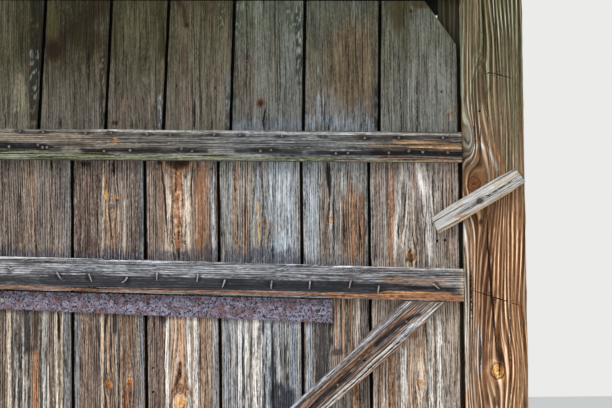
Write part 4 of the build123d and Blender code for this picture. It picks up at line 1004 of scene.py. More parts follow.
LOWER_WOODS = [
    dict(
        stops=[(0, 164, (100, 88, 78)), (0, 250, (110, 96, 88)), (0, 400, (130, 112, 100))],
        pale=(150, 136, 124), deep=(52, 42, 34)),
    dict(
        stops=[(40, 160, (108, 96, 86)), (40, 210, (112, 97, 87)), (40, 250, (124, 109, 99)),
               (40, 320, (108, 96, 88)), (40, 350, (120, 106, 94)), (40, 400, (136, 120, 106))],
        pale=(172, 156, 142), deep=(58, 46, 38),
        marks=[
            band(8, 150, 262, 16, (98, 88, 82), 0.5), band(24, 160, 262, 8, (130, 112, 98), 0.5),
            streak([(31, 162), (33, 205), (36.5, 254)], 3.6, (134, 98, 68), 0.7),
            band(45, 160, 262, 7, (102, 94, 88), 0.5), band(57, 160, 262, 4, (88, 74, 64), 0.5),
            band(67, 155, 262, 9, (98, 100, 102), 0.8),
            hem([(-20, 246), (72, 250)], 9, STAIN, 0.75, 60), crack([(51, 158), (52, 172)], 3.2),
            crack([(50, 186), (51, 215), (54, 246)], 1.3), crack([(20, 188), (20, 218)], 1.3),
            crack([(34.5, 208), (36.5, 254)], 0.9),
            *stripes(
                164, 244, (26, 6, (132, 112, 94)), (13, 3, (120, 104, 92)),
                (41, 3.6, (104, 98, 96)), (60, 4, (96, 92, 90))),
            *lines(
                (70, 56, 46), (33.2, 176, 206, 1), (22.5, 180, 240, 0.8), (29, 190, 246, 0.8),
                (10, 190, 240, 0.8), (44.5, 176, 200, 1)),
            *stripes(
                310, 412, (3, 3.5, UMBER), (9, 4.2, PALE), (16, 4, GREY), (24, 4.5, GREY),
                (44.5, 5, GREY), (51.5, 2, UMBER), (56.5, 3.4, PALE), (62, 1.8, PALE),
                (67, 4.2, BLUE)),
            *stripes(
                306, 352, (27, 6.5, (24, 24, 30)), (36, 4, (74, 50, 36)), (17, 2.6, (84, 72, 62))),
            *stripes(354, 412, (35, 5.2, RUST)), blob(31, 348, 9, 10, (64, 46, 34), 0.8),
            *lines(
                SOOT, (12.5, 318, 400, 1.1), (15, 330, 408, 1.6), (18.5, 340, 408, 2.2),
                (21.5, 350, 408, 1.6), (25, 350, 400, 1.5), (29, 352, 408, 1.6),
                (40.5, 320, 408, 1.5), (42.5, 375, 400, 1.8), (46, 345, 402, 1.3),
                (49.5, 320, 408, 1.3), (53, 330, 390, 1), (59, 380, 408, 1.2)),
            *lines(
                WHITE, (10, 330, 405, 1), (23, 352, 400, 1), (43.8, 372, 405, 1.4),
                (57, 350, 405, 1.2), (47.8, 362, 400, 0.9)),
            *lines((196, 128, 70), (33.5, 370, 408, 1.2), (37, 362, 400, 0.9)),
            crack([(58.5, 312), (59, 342)], 4.5),
        ]),
    dict(
        stops=[(110, 160, (100, 86, 77)), (110, 215, (108, 92, 82)), (110, 252, (114, 98, 90)),
               (110, 330, (104, 88, 78)), (110, 400, (116, 96, 84))],
        pale=(152, 132, 118), deep=(46, 33, 27),
        marks=[
            band(85, 150, 262, 24, (100, 79, 70), 0.85),
            band(101, 160, 262, 6, (128, 114, 104), 0.6),
            band(133, 160, 262, 10, (104, 90, 82), 0.7),
            band(141, 150, 262, 6, (108, 114, 118), 0.8),
            band(124, 160, 262, 7, (142, 130, 120), 0.6),
            blob(85, 163, 12, 6, (16, 12, 10), 1, 0.4, 3.5),
            streak([(80, 164), (90, 163)], 1.2, (120, 108, 100), 0.8),
            streak([(81, 161.5), (89, 161)], 1, (96, 84, 78), 0.8),
            crack([(113.5, 158), (114, 178)], 4.5),
            streak([(106, 163), (106, 222)], 2.4, (150, 112, 74), 0.75),
            blob(106.5, 195, 3.8, 10, (218, 154, 58), 0.95),
            blob(116.5, 197.5, 6, 5, (200, 128, 54), 0.95),
            blob(117, 200, 3.5, 1.6, (30, 18, 12), 1, 0.2),
            knot(112, 208, 5.5, (84, 74, 66), (126, 104, 86), 1.6, 2.8),
            streak([(107, 214), (112, 248)], 1.6, (164, 110, 70), 0.7),
            streak([(119, 212), (114, 248)], 1.6, (150, 104, 70), 0.7),
            crack([(109, 212), (113, 246)], 1.2), crack([(97, 170), (98, 252)], 1),
            crack([(127, 200), (127, 250)], 1.2),
            blob(83.5, 183, 1.6, 1.6, (214, 206, 198), 1, 0.2),
            blob(75.5, 218, 1.8, 2, (220, 200, 186), 1, 0.2),
            hem([(73, 254), (98, 252), (104, 249), (125, 249), (143, 252)], 8, STAIN, 0.8, 60),
            *stripes(
                166, 246, (80, 6, (108, 92, 82)), (90, 7, (98, 78, 68)), (97, 2.2, (104, 84, 72)),
                (103, 2, (170, 150, 128))),
            *stripes(
                204, 250, (103, 1.6, PALE), (107.5, 1.6, (176, 140, 104)),
                (113, 2.2, (172, 136, 104)), (118, 1.6, (184, 160, 132)), (124.5, 1.3, PALE)),
            *lines(
                (64, 48, 38), (105, 210, 248, 1), (110.5, 214, 246, 1), (115.6, 214, 248, 1),
                (121.5, 180, 240, 0.9)),
            *lines(
                (190, 176, 160), (121.5, 176, 214, 0.9), (127, 186, 236, 0.8),
                (131, 170, 200, 0.7)),
            *stripes(
                310, 412, (77, 3.6, BLUE), (82.5, 2.6, (118, 102, 90)),
                (86.5, 1.6, (158, 112, 78)), (94, 6.5, UMBER), (102.5, 3.2, PALE),
                (108.5, 2.2, TAN), (113, 2.4, (140, 104, 76)), (116.5, 1.1, (190, 186, 178)),
                (121.5, 2, (156, 118, 86)), (129, 6.5, (126, 92, 68)), (138, 3, (128, 120, 112)),
                (142.5, 2.6, BLUE)),
            *stripes(306, 338, (107, 3, SOOT), (114.5, 5, (34, 32, 38))),
            *lines(
                SOOT, (99.8, 330, 400, 1.2), (104.6, 318, 408, 2), (110.8, 330, 400, 1.8),
                (114.5, 350, 408, 1.4), (118.8, 330, 408, 2), (97, 318, 402, 1),
                (124, 350, 400, 0.9), (134, 340, 400, 0.9), (91, 330, 400, 0.8)),
            *lines(
                (214, 176, 134), (107.2, 330, 372, 1), (112.3, 334, 376, 0.9),
                (120.8, 340, 400, 0.9), (102, 340, 405, 1)),
            *stripes(388, 412, (126, 3.4, (150, 84, 48))),
            knot(108.5, 385, 5, (180, 92, 40), (226, 172, 110), 1.9, 2.8),
            blob(108.5, 380, 1.6, 3.5, SOOT, 0.9, 0.2),
            knot(129.5, 383, 4.5, (190, 112, 52), (222, 152, 88), 2.2, 2.6),
            blob(129, 377, 2, 5, (240, 196, 140), 0.8, 0.3),
        ]),
    dict(
        stops=[(182, 160, (130, 110, 96)), (182, 210, (138, 114, 98)),
               (182, 252, (142, 119, 104)), (182, 320, (150, 128, 112)),
               (182, 400, (150, 128, 112))],
        pale=(200, 184, 168), deep=(84, 58, 42),
        marks=[
            band(152, 155, 262, 14, (122, 104, 94), 0.7),
            band(170, 175, 255, 9, (186, 170, 154), 0.75),
            band(188, 178, 250, 5, (196, 184, 170), 0.75),
            band(179, 170, 245, 10, (156, 108, 74), 0.65),
            band(202, 160, 262, 16, (150, 108, 78), 0.7),
            band(213, 155, 262, 7, (132, 134, 136), 0.75),
            blob(178, 160, 13, 8, (64, 38, 26), 0.9, 0.3),
            streak([(172, 166), (180, 169), (187, 166)], 2.2, (196, 136, 84), 0.8),
            blob(160, 162, 8, 5, (22, 16, 13), 0.95, 0.5, 2.5),
            crack([(161, 160), (165, 198), (168, 246)], 2.6),
            crack([(193, 162), (191, 188), (192, 205)], 2.2), crack([(153, 215), (154, 240)], 1.2),
            swirl(178, 205, 14, 4, 2.4),
            hem([(145, 252), (175, 250), (200, 247), (217, 246)], 9, STAIN, 0.75, 60),
            *stripes(
                172, 248, (172, 4, (174, 132, 100)), (178.5, 4.4, (166, 112, 72)),
                (199, 8, (156, 104, 68))),
            *stripes(
                176, 250, (166.6, 1.8, (206, 190, 172)), (185.5, 2.2, (214, 198, 180)),
                (190, 1.5, (206, 184, 160)), (213, 3, (176, 180, 184))),
            *stripes(168, 236, (154.5, 3.4, (128, 110, 96)), (160, 2, (134, 102, 76))),
            *lines(
                (108, 68, 42), (175.4, 180, 246, 0.8), (181.6, 184, 248, 0.8),
                (194.6, 178, 244, 0.9), (198, 186, 236, 0.8), (202.5, 176, 240, 0.8)),
            *lines(
                (226, 206, 182), (170.4, 186, 240, 0.8), (180, 196, 236, 0.7),
                (196.4, 196, 240, 0.7), (187.6, 180, 246, 0.9)),
            blob(178, 161, 28, 17, (56, 31, 18), 0.97, 0.3, 1),
            streak(
                [(161, 160), (168, 169), (178, 172), (188, 169), (195, 160)], 2.3, (198, 132, 78),
                0.9),
            streak(
                [(163, 168), (171, 177), (178, 179), (186, 177), (192, 168)], 1, (96, 60, 38),
                0.8),
            *stripes(
                312, 412, (152, 4.4, (116, 98, 88)), (159, 3.8, UMBER), (167, 3.6, WHITE),
                (174.5, 4.2, (206, 172, 144)), (181, 3.6, (196, 146, 106)), (189, 3.6, WHITE),
                (195.5, 4.4, WHITE), (203.5, 4.2, (172, 136, 108)), (209.5, 2.4, (168, 150, 132)),
                (215.5, 3.6, (136, 146, 156))),
            *stripes(306, 352, (162.5, 2.2, (110, 68, 42))),
            blob(163, 318, 9, 15, (34, 26, 24), 0.9),
            *lines(
                (122, 82, 56), (170.5, 326, 400, 0.8), (173, 330, 372, 0.7),
                (176.5, 322, 370, 0.8), (179, 330, 366, 0.7), (183.5, 322, 372, 0.8),
                (186.5, 330, 380, 0.7), (164, 352, 404, 0.9), (205, 330, 404, 0.9),
                (208, 330, 400, 0.8)),
            *lines(
                SOOT, (200.6, 330, 404, 1.1), (211.5, 330, 400, 0.9), (156, 330, 400, 1),
                (150, 330, 380, 0.8)),
            streak(
                [(171, 396), (175, 384), (180, 373), (186, 384), (191, 396)], 4.5, (160, 102, 62),
                0.85),
            streak(
                [(172, 392), (176, 387), (180, 384), (185, 387), (190, 391)], 2.2, (52, 34, 24),
                0.9),
            knot(180, 389, 7, (120, 72, 42), (196, 140, 92), 2.4, 3.4),
            blob(180.5, 402, 13, 13, (226, 176, 112), 0.95, 0.3),
            blob(180.5, 403, 5, 5, (206, 142, 70), 0.9, 0.3),
            streak([(171, 408), (172, 399), (176, 393)], 2, (58, 38, 26), 0.85),
            streak([(190, 408), (189, 399), (185, 393)], 2, (58, 38, 26), 0.85),
            hole(153, 368, 2.2), hole(153, 392, 2.4),
            crack([(166, 322), (164, 360), (165, 408)], 1.4),
        ]),
    dict(
        stops=[(262, 160, (146, 148, 148)), (262, 210, (146, 146, 144)),
               (262, 250, (134, 134, 134)), (262, 325, (150, 148, 146)),
               (262, 400, (136, 134, 134))],
        pale=(206, 208, 210), deep=(80, 76, 72),
        marks=[
            band(224, 155, 262, 9, (122, 120, 114), 0.8),
            band(235, 160, 250, 11, (158, 134, 116), 0.65),
            streak([(236, 160), (237, 192)], 3.2, (184, 128, 92), 0.75),
            band(246, 205, 262, 12, (136, 104, 80), 0.7),
            band(250, 160, 205, 8, (150, 132, 118), 0.6),
            band(257, 160, 200, 5, (116, 124, 134), 0.6),
            streak([(257.5, 203), (258.5, 226), (260, 258)], 3.2, (214, 172, 122), 0.85),
            band(280, 155, 262, 34, (166, 178, 188), 0.8),
            blob(272, 230, 22, 22, (134, 118, 100), 0.55, 1),
            knot(264, 222, 4.5, (120, 92, 68), (170, 136, 102), 1.4, 2.6),
            blob(259, 163, 5, 9, (92, 44, 34), 0.85, 0.6),
            crack([(244.5, 160), (246, 200), (245, 240)], 1.3), crack([(262, 225), (262, 262)], 1),
            hem(
                [(218, 252), (250, 250), (262, 244), (285, 246), (300, 252)], 14, (84, 88, 102),
                0.85, 70),
            *stripes(
                166, 250, (236, 2.2, (162, 128, 96)), (242, 1.8, (126, 96, 72)),
                (247, 2, (140, 112, 88)), (252.5, 1.8, (150, 138, 124)),
                (275, 3.2, (160, 170, 180)), (284, 4, (170, 180, 190)), (293, 3, (150, 158, 168))),
            *lines(
                (206, 212, 220), (279, 166, 214, 1.2), (288, 170, 220, 1), (271, 176, 210, 1),
                (257.5, 168, 196, 0.9)),
            *lines(
                (66, 60, 60), (262.5, 170, 246, 1.1), (268, 180, 220, 0.9), (281.5, 170, 240, 0.9),
                (291, 176, 240, 0.8), (239.5, 176, 246, 0.9)),
            blob(266, 226, 7, 6, (126, 90, 62), 0.85, 0.9),
            *stripes(224, 246, (268, 6, (120, 112, 106))),
            streak([(270, 216), (278, 227), (284, 236)], 1.4, (184, 188, 190), 0.7),
            *stripes(
                312, 412, (226, 3.4, (134, 144, 156)), (232.5, 3.8, (150, 152, 156)),
                (240, 3.6, (220, 222, 226)), (247, 3.4, WHITE), (256, 6.2, WHITE),
                (267, 3.4, (168, 178, 190)), (273, 2.4, (84, 88, 98)),
                (278.5, 3.2, (158, 168, 178)), (284, 2.2, (108, 114, 124)),
                (293, 6.4, (134, 146, 162))),
            blob(282, 398, 24, 36, (34, 38, 52), 0.92, 0.9),
            blob(272, 372, 5, 30, (40, 40, 46), 0.8, 0.8),
            *lines(
                SOOT, (237, 345, 404, 1.3), (243, 335, 400, 2), (246.5, 350, 392, 1.3),
                (250.3, 335, 408, 1.3), (263.5, 322, 352, 2.2), (264.5, 360, 408, 2),
                (272, 322, 400, 2.6), (275.5, 345, 400, 1.5), (281, 345, 390, 1.8),
                (285.5, 345, 385, 1.8), (287.5, 322, 395, 1.2), (258.5, 330, 350, 1),
                (230, 330, 370, 1), (297, 340, 390, 1)),
            *lines(
                WHITE, (239, 330, 400, 1), (261.5, 330, 400, 1.2), (253, 340, 400, 1.2),
                (279, 350, 395, 1)),
        ]),
    dict(
        stops=[(336, 160, (142, 144, 144)), (336, 200, (134, 130, 126)),
               (336, 250, (124, 116, 108)), (336, 305, (118, 104, 94)), (336, 340, (104, 94, 88)),
               (336, 400, (118, 108, 98))],
        pale=(192, 192, 194), deep=(72, 60, 52),
        marks=[
            band(312, 155, 262, 20, (162, 172, 180), 0.8),
            band(326, 185, 262, 9, (124, 104, 90), 0.75), crack([(327, 160), (328, 188)], 4.2),
            blob(326, 161, 5, 6, (88, 42, 34), 0.8, 0.5),
            knot(331, 220, 5, (150, 100, 62), (204, 156, 112), 1.4, 2.8),
            crack([(333, 188), (334, 225), (334, 258)], 2.2),
            blob(352, 226, 26, 84, (138, 104, 80), 0.8, 0.8),
            band(345, 155, 190, 14, (150, 152, 152), 0.6), crack([(343, 186), (344, 256)], 1.6),
            crack([(358, 210), (362, 250)], 1.8), band(364, 190, 262, 4, (58, 44, 36), 0.7),
            hem([(302, 256), (366, 256)], 10, STAIN, 0.55, 60),
            *stripes(
                166, 248, (307, 4, (158, 168, 178)), (315, 3.4, (146, 154, 160)),
                (323.5, 3, (118, 102, 90)), (337, 3.4, (120, 112, 104)),
                (348, 3.4, (132, 100, 76))),
            *stripes(194, 262, (353, 4.2, (146, 102, 68)), (361, 4, (136, 92, 60))),
            crack([(329.6, 162), (330, 200)], 4.5),
            *lines(
                (70, 46, 32), (350, 200, 258, 0.9), (355.6, 206, 262, 0.9), (358.4, 214, 258, 1.2),
                (345, 190, 250, 0.9), (325, 226, 256, 1)),
            *lines(
                (190, 196, 202), (310.6, 168, 240, 1), (304.4, 172, 232, 0.9),
                (340.6, 196, 250, 0.8), (320, 170, 200, 0.8)),
            streak([(366, 236), (366.5, 222), (362, 212)], 1.6, (54, 38, 28), 0.9),
            blob(331, 222, 5, 6, (196, 152, 112), 0.9, 0.3),
            blob(331, 221.6, 2.2, 2.6, (92, 68, 52), 0.95, 0.3),
            *stripes(
                318, 400, (309, 5.2, (158, 168, 180)), (322, 7.5, (62, 57, 58)),
                (328.5, 2.4, (40, 36, 38))),
            *stripes(
                288, 380, (336, 4.2, (156, 116, 88)), (343.5, 3.2, (176, 138, 106)),
                (350, 3.6, (150, 112, 84)), (357.5, 3.2, (200, 184, 168)),
                (365, 4.2, (96, 84, 80))),
            *lines(
                (214, 190, 166), (334.5, 300, 350, 0.9), (338.6, 300, 350, 0.8),
                (346, 300, 348, 0.9), (353.5, 302, 345, 0.9)),
            *lines(
                SOOT, (330.8, 318, 356, 3), (332.8, 300, 340, 1), (340.8, 300, 350, 1.4),
                (348, 300, 345, 1), (361, 300, 340, 1.4), (367.5, 300, 330, 1.6),
                (316, 322, 395, 1.4)),
            blob(338, 352, 12, 10, (44, 38, 36), 0.8, 0.9),
            *stripes(372, 412, (356, 9, (148, 112, 82))),
            *lines(
                (92, 62, 44), (350, 385, 408, 1), (356, 380, 408, 1.2), (362, 376, 408, 1),
                (367, 372, 408, 1.2)),
        ]),
    dict(
        stops=[(415, 160, (142, 130, 122)), (415, 200, (154, 144, 136)),
               (415, 252, (150, 138, 128)), (415, 330, (172, 152, 132)),
               (415, 400, (168, 152, 138))],
        pale=(222, 216, 208), deep=(88, 66, 52),
        marks=[
            band(378, 155, 262, 16, (128, 114, 106), 0.8),
            band(387, 160, 215, 4, (74, 54, 44), 0.7), band(391, 190, 262, 9, (138, 92, 62), 0.8),
            streak([(401, 170), (398, 210), (394, 256)], 6, (206, 196, 184), 0.85),
            streak([(416, 166), (426, 200), (430, 254)], 9, (218, 212, 206), 0.85),
            streak([(409, 200), (404, 232), (402, 250)], 2.4, (208, 198, 186), 0.8),
            streak([(414.5, 162), (415, 190)], 3, (150, 104, 74), 0.7),
            band(448, 155, 262, 20, (134, 114, 102), 0.8),
            streak([(420, 200), (416, 232), (420, 254)], 2.4, (120, 92, 74), 0.7),
            knot(411, 256, 9, (104, 70, 42), (176, 130, 88), 1.5, 3), hole(437.5, 241, 2.6),
            hole(445.3, 240, 2.6), crack([(442.5, 165), (443, 232)], 1.6),
            crack([(437, 205), (436, 256)], 1.4), crack([(398, 222), (399, 240)], 2),
            crack([(407, 180), (403, 232)], 1.5), crack([(426, 212), (424, 254)], 1.6),
            crack([(432, 170), (434, 215)], 1.6),
            *stripes(
                168, 262, (377.5, 5, (122, 106, 96)), (391, 3, (156, 106, 72)),
                (439, 3, (140, 122, 108)), (450, 5, (134, 112, 96))),
            streak([(402, 166), (400, 200), (396, 232), (394, 262)], 2.8, (226, 220, 214), 0.85),
            streak([(418, 166), (424, 196), (427, 230), (430, 264)], 3.6, (236, 232, 226), 0.85),
            streak([(424, 166), (431, 196), (435, 230), (436, 264)], 2.6, (214, 206, 198), 0.8),
            streak([(408, 196), (405, 222), (401, 246)], 1.6, (222, 204, 184), 0.85),
            streak([(413, 190), (413, 220), (416, 246)], 1.5, (214, 190, 164), 0.8),
            *lines(
                (76, 58, 48), (409.5, 172, 238, 1), (404, 180, 230, 0.9), (416.6, 190, 240, 1),
                (421.6, 206, 262, 1.2), (398.8, 200, 236, 1.1), (426.6, 200, 236, 0.8),
                (387.6, 170, 262, 1)),
            blob(411, 257, 12.5, 14, (226, 186, 140), 0.92, 0.15),
            blob(411, 257, 9.6, 11, (104, 66, 42), 0.95, 0.15),
            blob(411, 256.4, 6.6, 7.6, (140, 96, 62), 0.9, 0.3),
            blob(410.6, 256, 2.6, 3, (70, 44, 30), 0.9, 0.3),
            *stripes(
                345, 412, (380, 5, (140, 104, 78)), (391.5, 6.4, (160, 116, 82)),
                (404, 6, (238, 232, 224)), (411.5, 2.8, (206, 168, 134))),
            *stripes(
                318, 412, (420, 6, (206, 184, 162)), (431.5, 4.4, (236, 230, 222)),
                (439.5, 5.2, (240, 236, 230)), (451, 6, (172, 156, 142))),
            blob(414, 334, 9, 14, (150, 98, 60), 0.85, 0.9),
            blob(420, 350, 8, 20, (178, 134, 100), 0.6, 0.8),
            *lines(
                (124, 86, 60), (385, 355, 408, 1), (388.5, 350, 408, 1), (395, 350, 408, 1.3),
                (398.5, 352, 408, 1.6), (413.5, 350, 400, 1), (409, 352, 406, 1)),
            *lines(
                SOOT, (426.8, 330, 352, 1), (431, 318, 405, 1), (435.6, 322, 405, 1.2),
                (441.8, 322, 408, 1.2), (445.2, 330, 400, 0.9), (428.5, 370, 400, 1.5),
                (449, 380, 408, 1.2)),
            knot(420.5, 383, 5.5, (206, 160, 112), (190, 136, 84), 1.3, 3),
            blob(427, 396, 3, 16, (70, 58, 50), 0.8, 0.8),
        ]),
]
BACK_WOOD = dict(
    stops=[(0, 0, (110, 92, 70)), (0, 400, (116, 96, 74))],
    pale=(146, 124, 98), deep=(72, 56, 40), streaks=0.45, contrast=0.25, seed=90, rough=0.5,
    cup=0.3)
UPPER_BATTEN_WOOD = dict(
    stops=[(0, 145, (124, 112, 98)), (140, 145, (118, 110, 98)), (200, 146, (118, 116, 110)),
           (280, 146, (112, 118, 124)), (360, 147, (104, 104, 102)), (455, 147, (112, 98, 82))],
    seed=61, cracks=16, pale=(170, 166, 156), deep=(54, 46, 40), streaks=0.55, contrast=0.55,
    marks=[
        # A pale line along the top edge: painted highlight where light falls on the top arris.
        streak([(-20, 129), (120, 130.3), (235, 132), (460, 135)], 2.6, (196, 194, 188), 0.75),
        streak([(-20, 134), (60, 135), (150, 137)], 5, (88, 82, 74), 0.6),
        streak([(-20, 147), (46, 147.5), (60, 148)], 8.5, BLACK_STAIN, 0.95),
        streak([(60, 143), (84, 143.5)], 6, (70, 62, 54), 0.5),
        streak([(82, 150.5), (136, 151), (158, 150)], 7, BLACK_STAIN, 0.95),
        streak([(140, 148.5), (176, 149), (206, 150.5)], 6, (40, 36, 34), 0.85),
        streak([(236, 151), (256, 151), (285, 151.5), (300, 152)], 7, BLACK_STAIN, 0.9),
        streak([(310, 153), (335, 153.5), (372, 154)], 6, (30, 28, 30), 0.85),
        streak([(376, 152), (410, 152), (436, 153), (462, 153.5)], 8.5, BLACK_STAIN, 0.95),
        streak([(20, 132.5), (54, 133)], 4, (48, 44, 42), 0.7),
        streak([(120, 134), (180, 135)], 3.5, (56, 52, 50), 0.65),
        streak([(250, 137), (300, 138)], 4, (84, 88, 92), 0.6),
        streak([(320, 138), (350, 139), (410, 139.5)], 5, (60, 58, 60), 0.7),
        streak([(372, 145), (455, 147)], 6, (146, 116, 86), 0.75),
        streak([(-20, 156), (230, 158.3), (330, 159.3)], 5, (116, 122, 86), 0.9),
        # A dark line along the lower edge: painted shade of the underside.
        streak([(-20, 159), (230, 161), (300, 161)], 2, (46, 44, 30), 0.7),
        streak([(330, 159.5), (462, 161)], 3, (144, 128, 82), 0.75),
        blob(94, 154, 5, 22, (152, 142, 88), 0.6, 1),
        blob(214, 156, 4, 20, (150, 140, 88), 0.5, 1), blob(270, 150, 2.5, 6, (150, 88, 52), 0.8),
        crack([(76, 153.5), (120, 155)], 2.2), crack([(-20, 153), (40, 154)], 1.4),
        crack([(180, 155), (240, 156)], 1.4),
        course((-30, 137), (90, 138), 7, (140, 124, 102), 0.7),
        course((-30, 145.6), (50, 146.4), 6.5, (20, 19, 19), 0.97),
        course((50, 144), (94, 146), 3, (62, 53, 46), 0.8),
        course((82, 150.3), (206, 151.3), 3.4, (28, 26, 27)),
        course((-30, 153), (86, 154.4), 5.8, (114, 120, 92)),
        course((86, 156), (300, 159), 2.8, (100, 106, 80), 0.8),
        course((158, 158), (205, 155.5), 0.9, (190, 194, 176), 0.8),
        course((86, 155), (112, 156), 1.2, (196, 180, 110), 0.7, 1),
        course((248, 149.6), (282, 150), 1.7, (20, 20, 22), 0.95),
        course((318, 152.4), (380, 153.2), 4.2, (40, 38, 41)),
        course((372, 153), (462, 154.2), 4.6, (16, 15, 17), 0.97),
        course((378, 158), (462, 159.5), 3, (108, 72, 50)),
        course((394, 143), (462, 145.5), 5.5, (168, 130, 90), 0.85),
        course((404, 146.8), (462, 148.6), 1.4, (214, 154, 92)),
        course((352, 136), (462, 137.6), 4, (64, 53, 46), 0.8),
        # White lines on the top edge: painted highlight.
        course((94, 129.7), (142, 130.3), 1.4, (236, 234, 230)),
        course((278, 133), (354, 134), 1.2, (216, 218, 218)),
        course((-30, 129.2), (94, 129.8), 1.2, (64, 60, 54), 0.8),
                *[course((left, 131 + drop), (right, 131 + drop + 0.005 * (right - left)), 0.8,
                         SOOT, 0.9, 1.0)
                  for left, right, drop in (
                      (-30, 90, 10.4), (-30, 140, 6.8), (100, 320, 5), (120, 340, 8.4),
                      (140, 330, 12), (200, 360, 15), (230, 460, 17), (380, 462, 9.6),
                      (400, 462, 14))],
        blob(115.4, 140.6, 6, 6.5, (206, 140, 78), 0.85, 0.2),
        blob(115.4, 140.6, 3.4, 3.8, (128, 92, 64), 0.9, 0.2),
        blob(115.6, 140.4, 1.8, 2, (40, 30, 24), 0.95, 0.2),
    ])
MIDDLE_BATTEN_WOOD = dict(
    stops=[(0, 270, (112, 110, 110)), (150, 272, (108, 108, 112)), (300, 276, (106, 108, 114)),
           (380, 279, (112, 106, 106)), (455, 282, (120, 108, 102))],
    seed=62, cracks=22, pale=(178, 180, 186), deep=(46, 44, 46), streaks=0.6, contrast=0.62,
    marks=[
        # A pale line along the top edge: painted highlight where light from above falls on the top
        # bevel.
        streak([(-20, 256.8), (230, 261.4), (462, 269.5)], 3.2, (206, 208, 210), 0.75),
        streak([(-20, 267), (100, 269.5), (230, 272.5), (330, 275)], 6, (132, 134, 138), 0.5),
        streak([(-20, 280), (80, 282), (230, 286), (340, 289)], 9, (44, 44, 48), 0.8),
        streak([(-20, 286.5), (230, 292), (330, 295)], 3.4, (140, 90, 56), 0.8),
        streak([(330, 295), (400, 297.5), (462, 300)], 6.5, (166, 112, 70), 0.85),
        streak([(396, 286), (452, 290)], 9, BLACK_STAIN, 0.95),
        streak([(330, 284), (386, 288)], 8, (34, 32, 34), 0.85),
        streak([(232, 281), (300, 284)], 6, (52, 52, 56), 0.7),
        streak([(440, 276), (464, 277)], 5, (170, 152, 130), 0.6),
        blob(5, 254.5, 4, 4.5, (236, 236, 232), 1, 0.4),
        blob(118, 258, 2.5, 3, (236, 236, 232), 1, 0.2),
        streak([(15, 257), (24, 257.6)], 2.2, (226, 226, 224), 0.9),
        course((44, 280), (242, 285), 12.5, (48, 48, 54), 0.8),
        course((228, 285), (396, 289), 10.5, (42, 42, 48), 0.85),
                *[course((-30, 257.3 + drop), (464, 269.4 + drop), 0.85, (44, 44, 48), 0.9, 1.0)
                  for drop in (
                      3.6, 5.8, 8.2, 10.4, 12.6, 15.4, 19, 22.5, 25)],
                *[course((-30, 257.3 + drop), (464, 269.4 + drop), 0.9, (186, 188, 196), 0.8, 1.0)
                  for drop in (
                      4.7, 7.0, 9.3, 11.6, 13.8)],
        course((384, 280.5), (448, 282.5), 7, (156, 128, 108), 0.75),
        course((384, 277), (440, 278.6), 0.9, SOOT, 0.9, 1),
        course((-30, 286.4), (230, 292.2), 1.7, (156, 100, 60)),
        course((230, 292.2), (384, 296), 2, (160, 104, 62)),
        course((378, 294.6), (464, 297.4), 5, (176, 120, 76)),
        course((388, 291.6), (452, 293.6), 1.2, (214, 148, 86)),
        # Pale lines on the top edge: painted highlight.
        course((280, 264.6), (352, 266.6), 2, (222, 228, 236)),
        course((96, 260), (170, 262), 1.2, (214, 218, 226)),
        blob(464, 284, 34, 6, (196, 176, 142), 0.75, 0.4),
    ])
LOWER_BATTEN_WOOD = dict(
    stops=[(0, 270, (112, 106, 102)), (455, 282, (118, 108, 102))],
    seed=63, cracks=20, pale=(176, 172, 168), deep=(52, 48, 46), streaks=0.6, contrast=0.6)
BRACE_WOOD = dict(
    stops=[(440, 305, (140, 122, 110)), (400, 340, (126, 108, 98)), (330, 400, (132, 114, 104))],
    seed=64, cracks=18, pale=(206, 194, 182), deep=(54, 42, 36), streaks=0.65, contrast=0.6,
    flow=7,
    marks=[
                *[brace_stripe(offset, -90, 158, width, colour)
                  for offset, width, colour in (
                      (1.4, 3.4, (200, 200, 210)), (4.6, 1.4, (92, 80, 76)),
                      (7.2, 2.8, (158, 122, 98)), (11, 3.4, (164, 112, 76)),
                      (15.4, 3.2, (112, 92, 82)), (18.6, 2.4, (160, 130, 108)),
                      (22, 2.6, (218, 212, 206)), (25.4, 2.0, (236, 226, 214)),
                      (27.6, 1.0, (184, 108, 52)))],
        brace_stripe(22.5, 124, 152, 5, (208, 214, 226)),
        brace_stripe(24, 142, 176, 4, (232, 230, 228)),
                *[brace_stripe(offset, -90, 150, width, SOOT, 1.0)
                  for offset, width in (
                      (3.2, 0.7), (5.8, 1.1), (8.6, 0.9), (10.2, 0.8), (12.6, 1.2), (17.0, 1.3),
                      (20.3, 1.5), (23.8, 1.1), (26.6, 0.9))],
        streak([(420, 314), (404, 321), (388, 334), (376, 345)], 5.5, (26, 25, 32), 0.98),
        streak([(350, 373), (337, 385), (322, 397), (306, 412)], 5, (26, 25, 30), 0.98),
        streak([(372, 354), (356, 367)], 3, (44, 36, 34), 0.8), hole(364.5, 360.5, 2.4),
    ])
BUTTON_WOOD = dict(
    stops=[(436, 225, (194, 190, 186)), (520, 176, (192, 188, 184))],
    seed=65, pale=(226, 224, 222), deep=(120, 112, 104), streaks=0.5, contrast=0.3, flow=2,
    rough=0.7,
    marks=[
        streak([(438, 232), (480, 209), (522, 185)], 3.4, (196, 152, 88), 0.7),
        course((438, 218), (516, 173.5), 1.2, (236, 234, 232)),
        course((442, 222), (520, 178), 1.3, (160, 154, 150), 0.8),
        course((444, 226), (524, 180), 1.4, (226, 222, 216)),
        streak([(495, 186), (518, 173)], 2.6, (214, 168, 84), 0.8),
        streak([(455, 217), (466, 215)], 2.6, (196, 132, 66), 0.8),
        blob(460, 204, 5, 6, (214, 196, 160), 0.8, 0.4),
        blob(480, 200.6, 8, 10, (112, 88, 70), 0.7, 0.6),
    ])
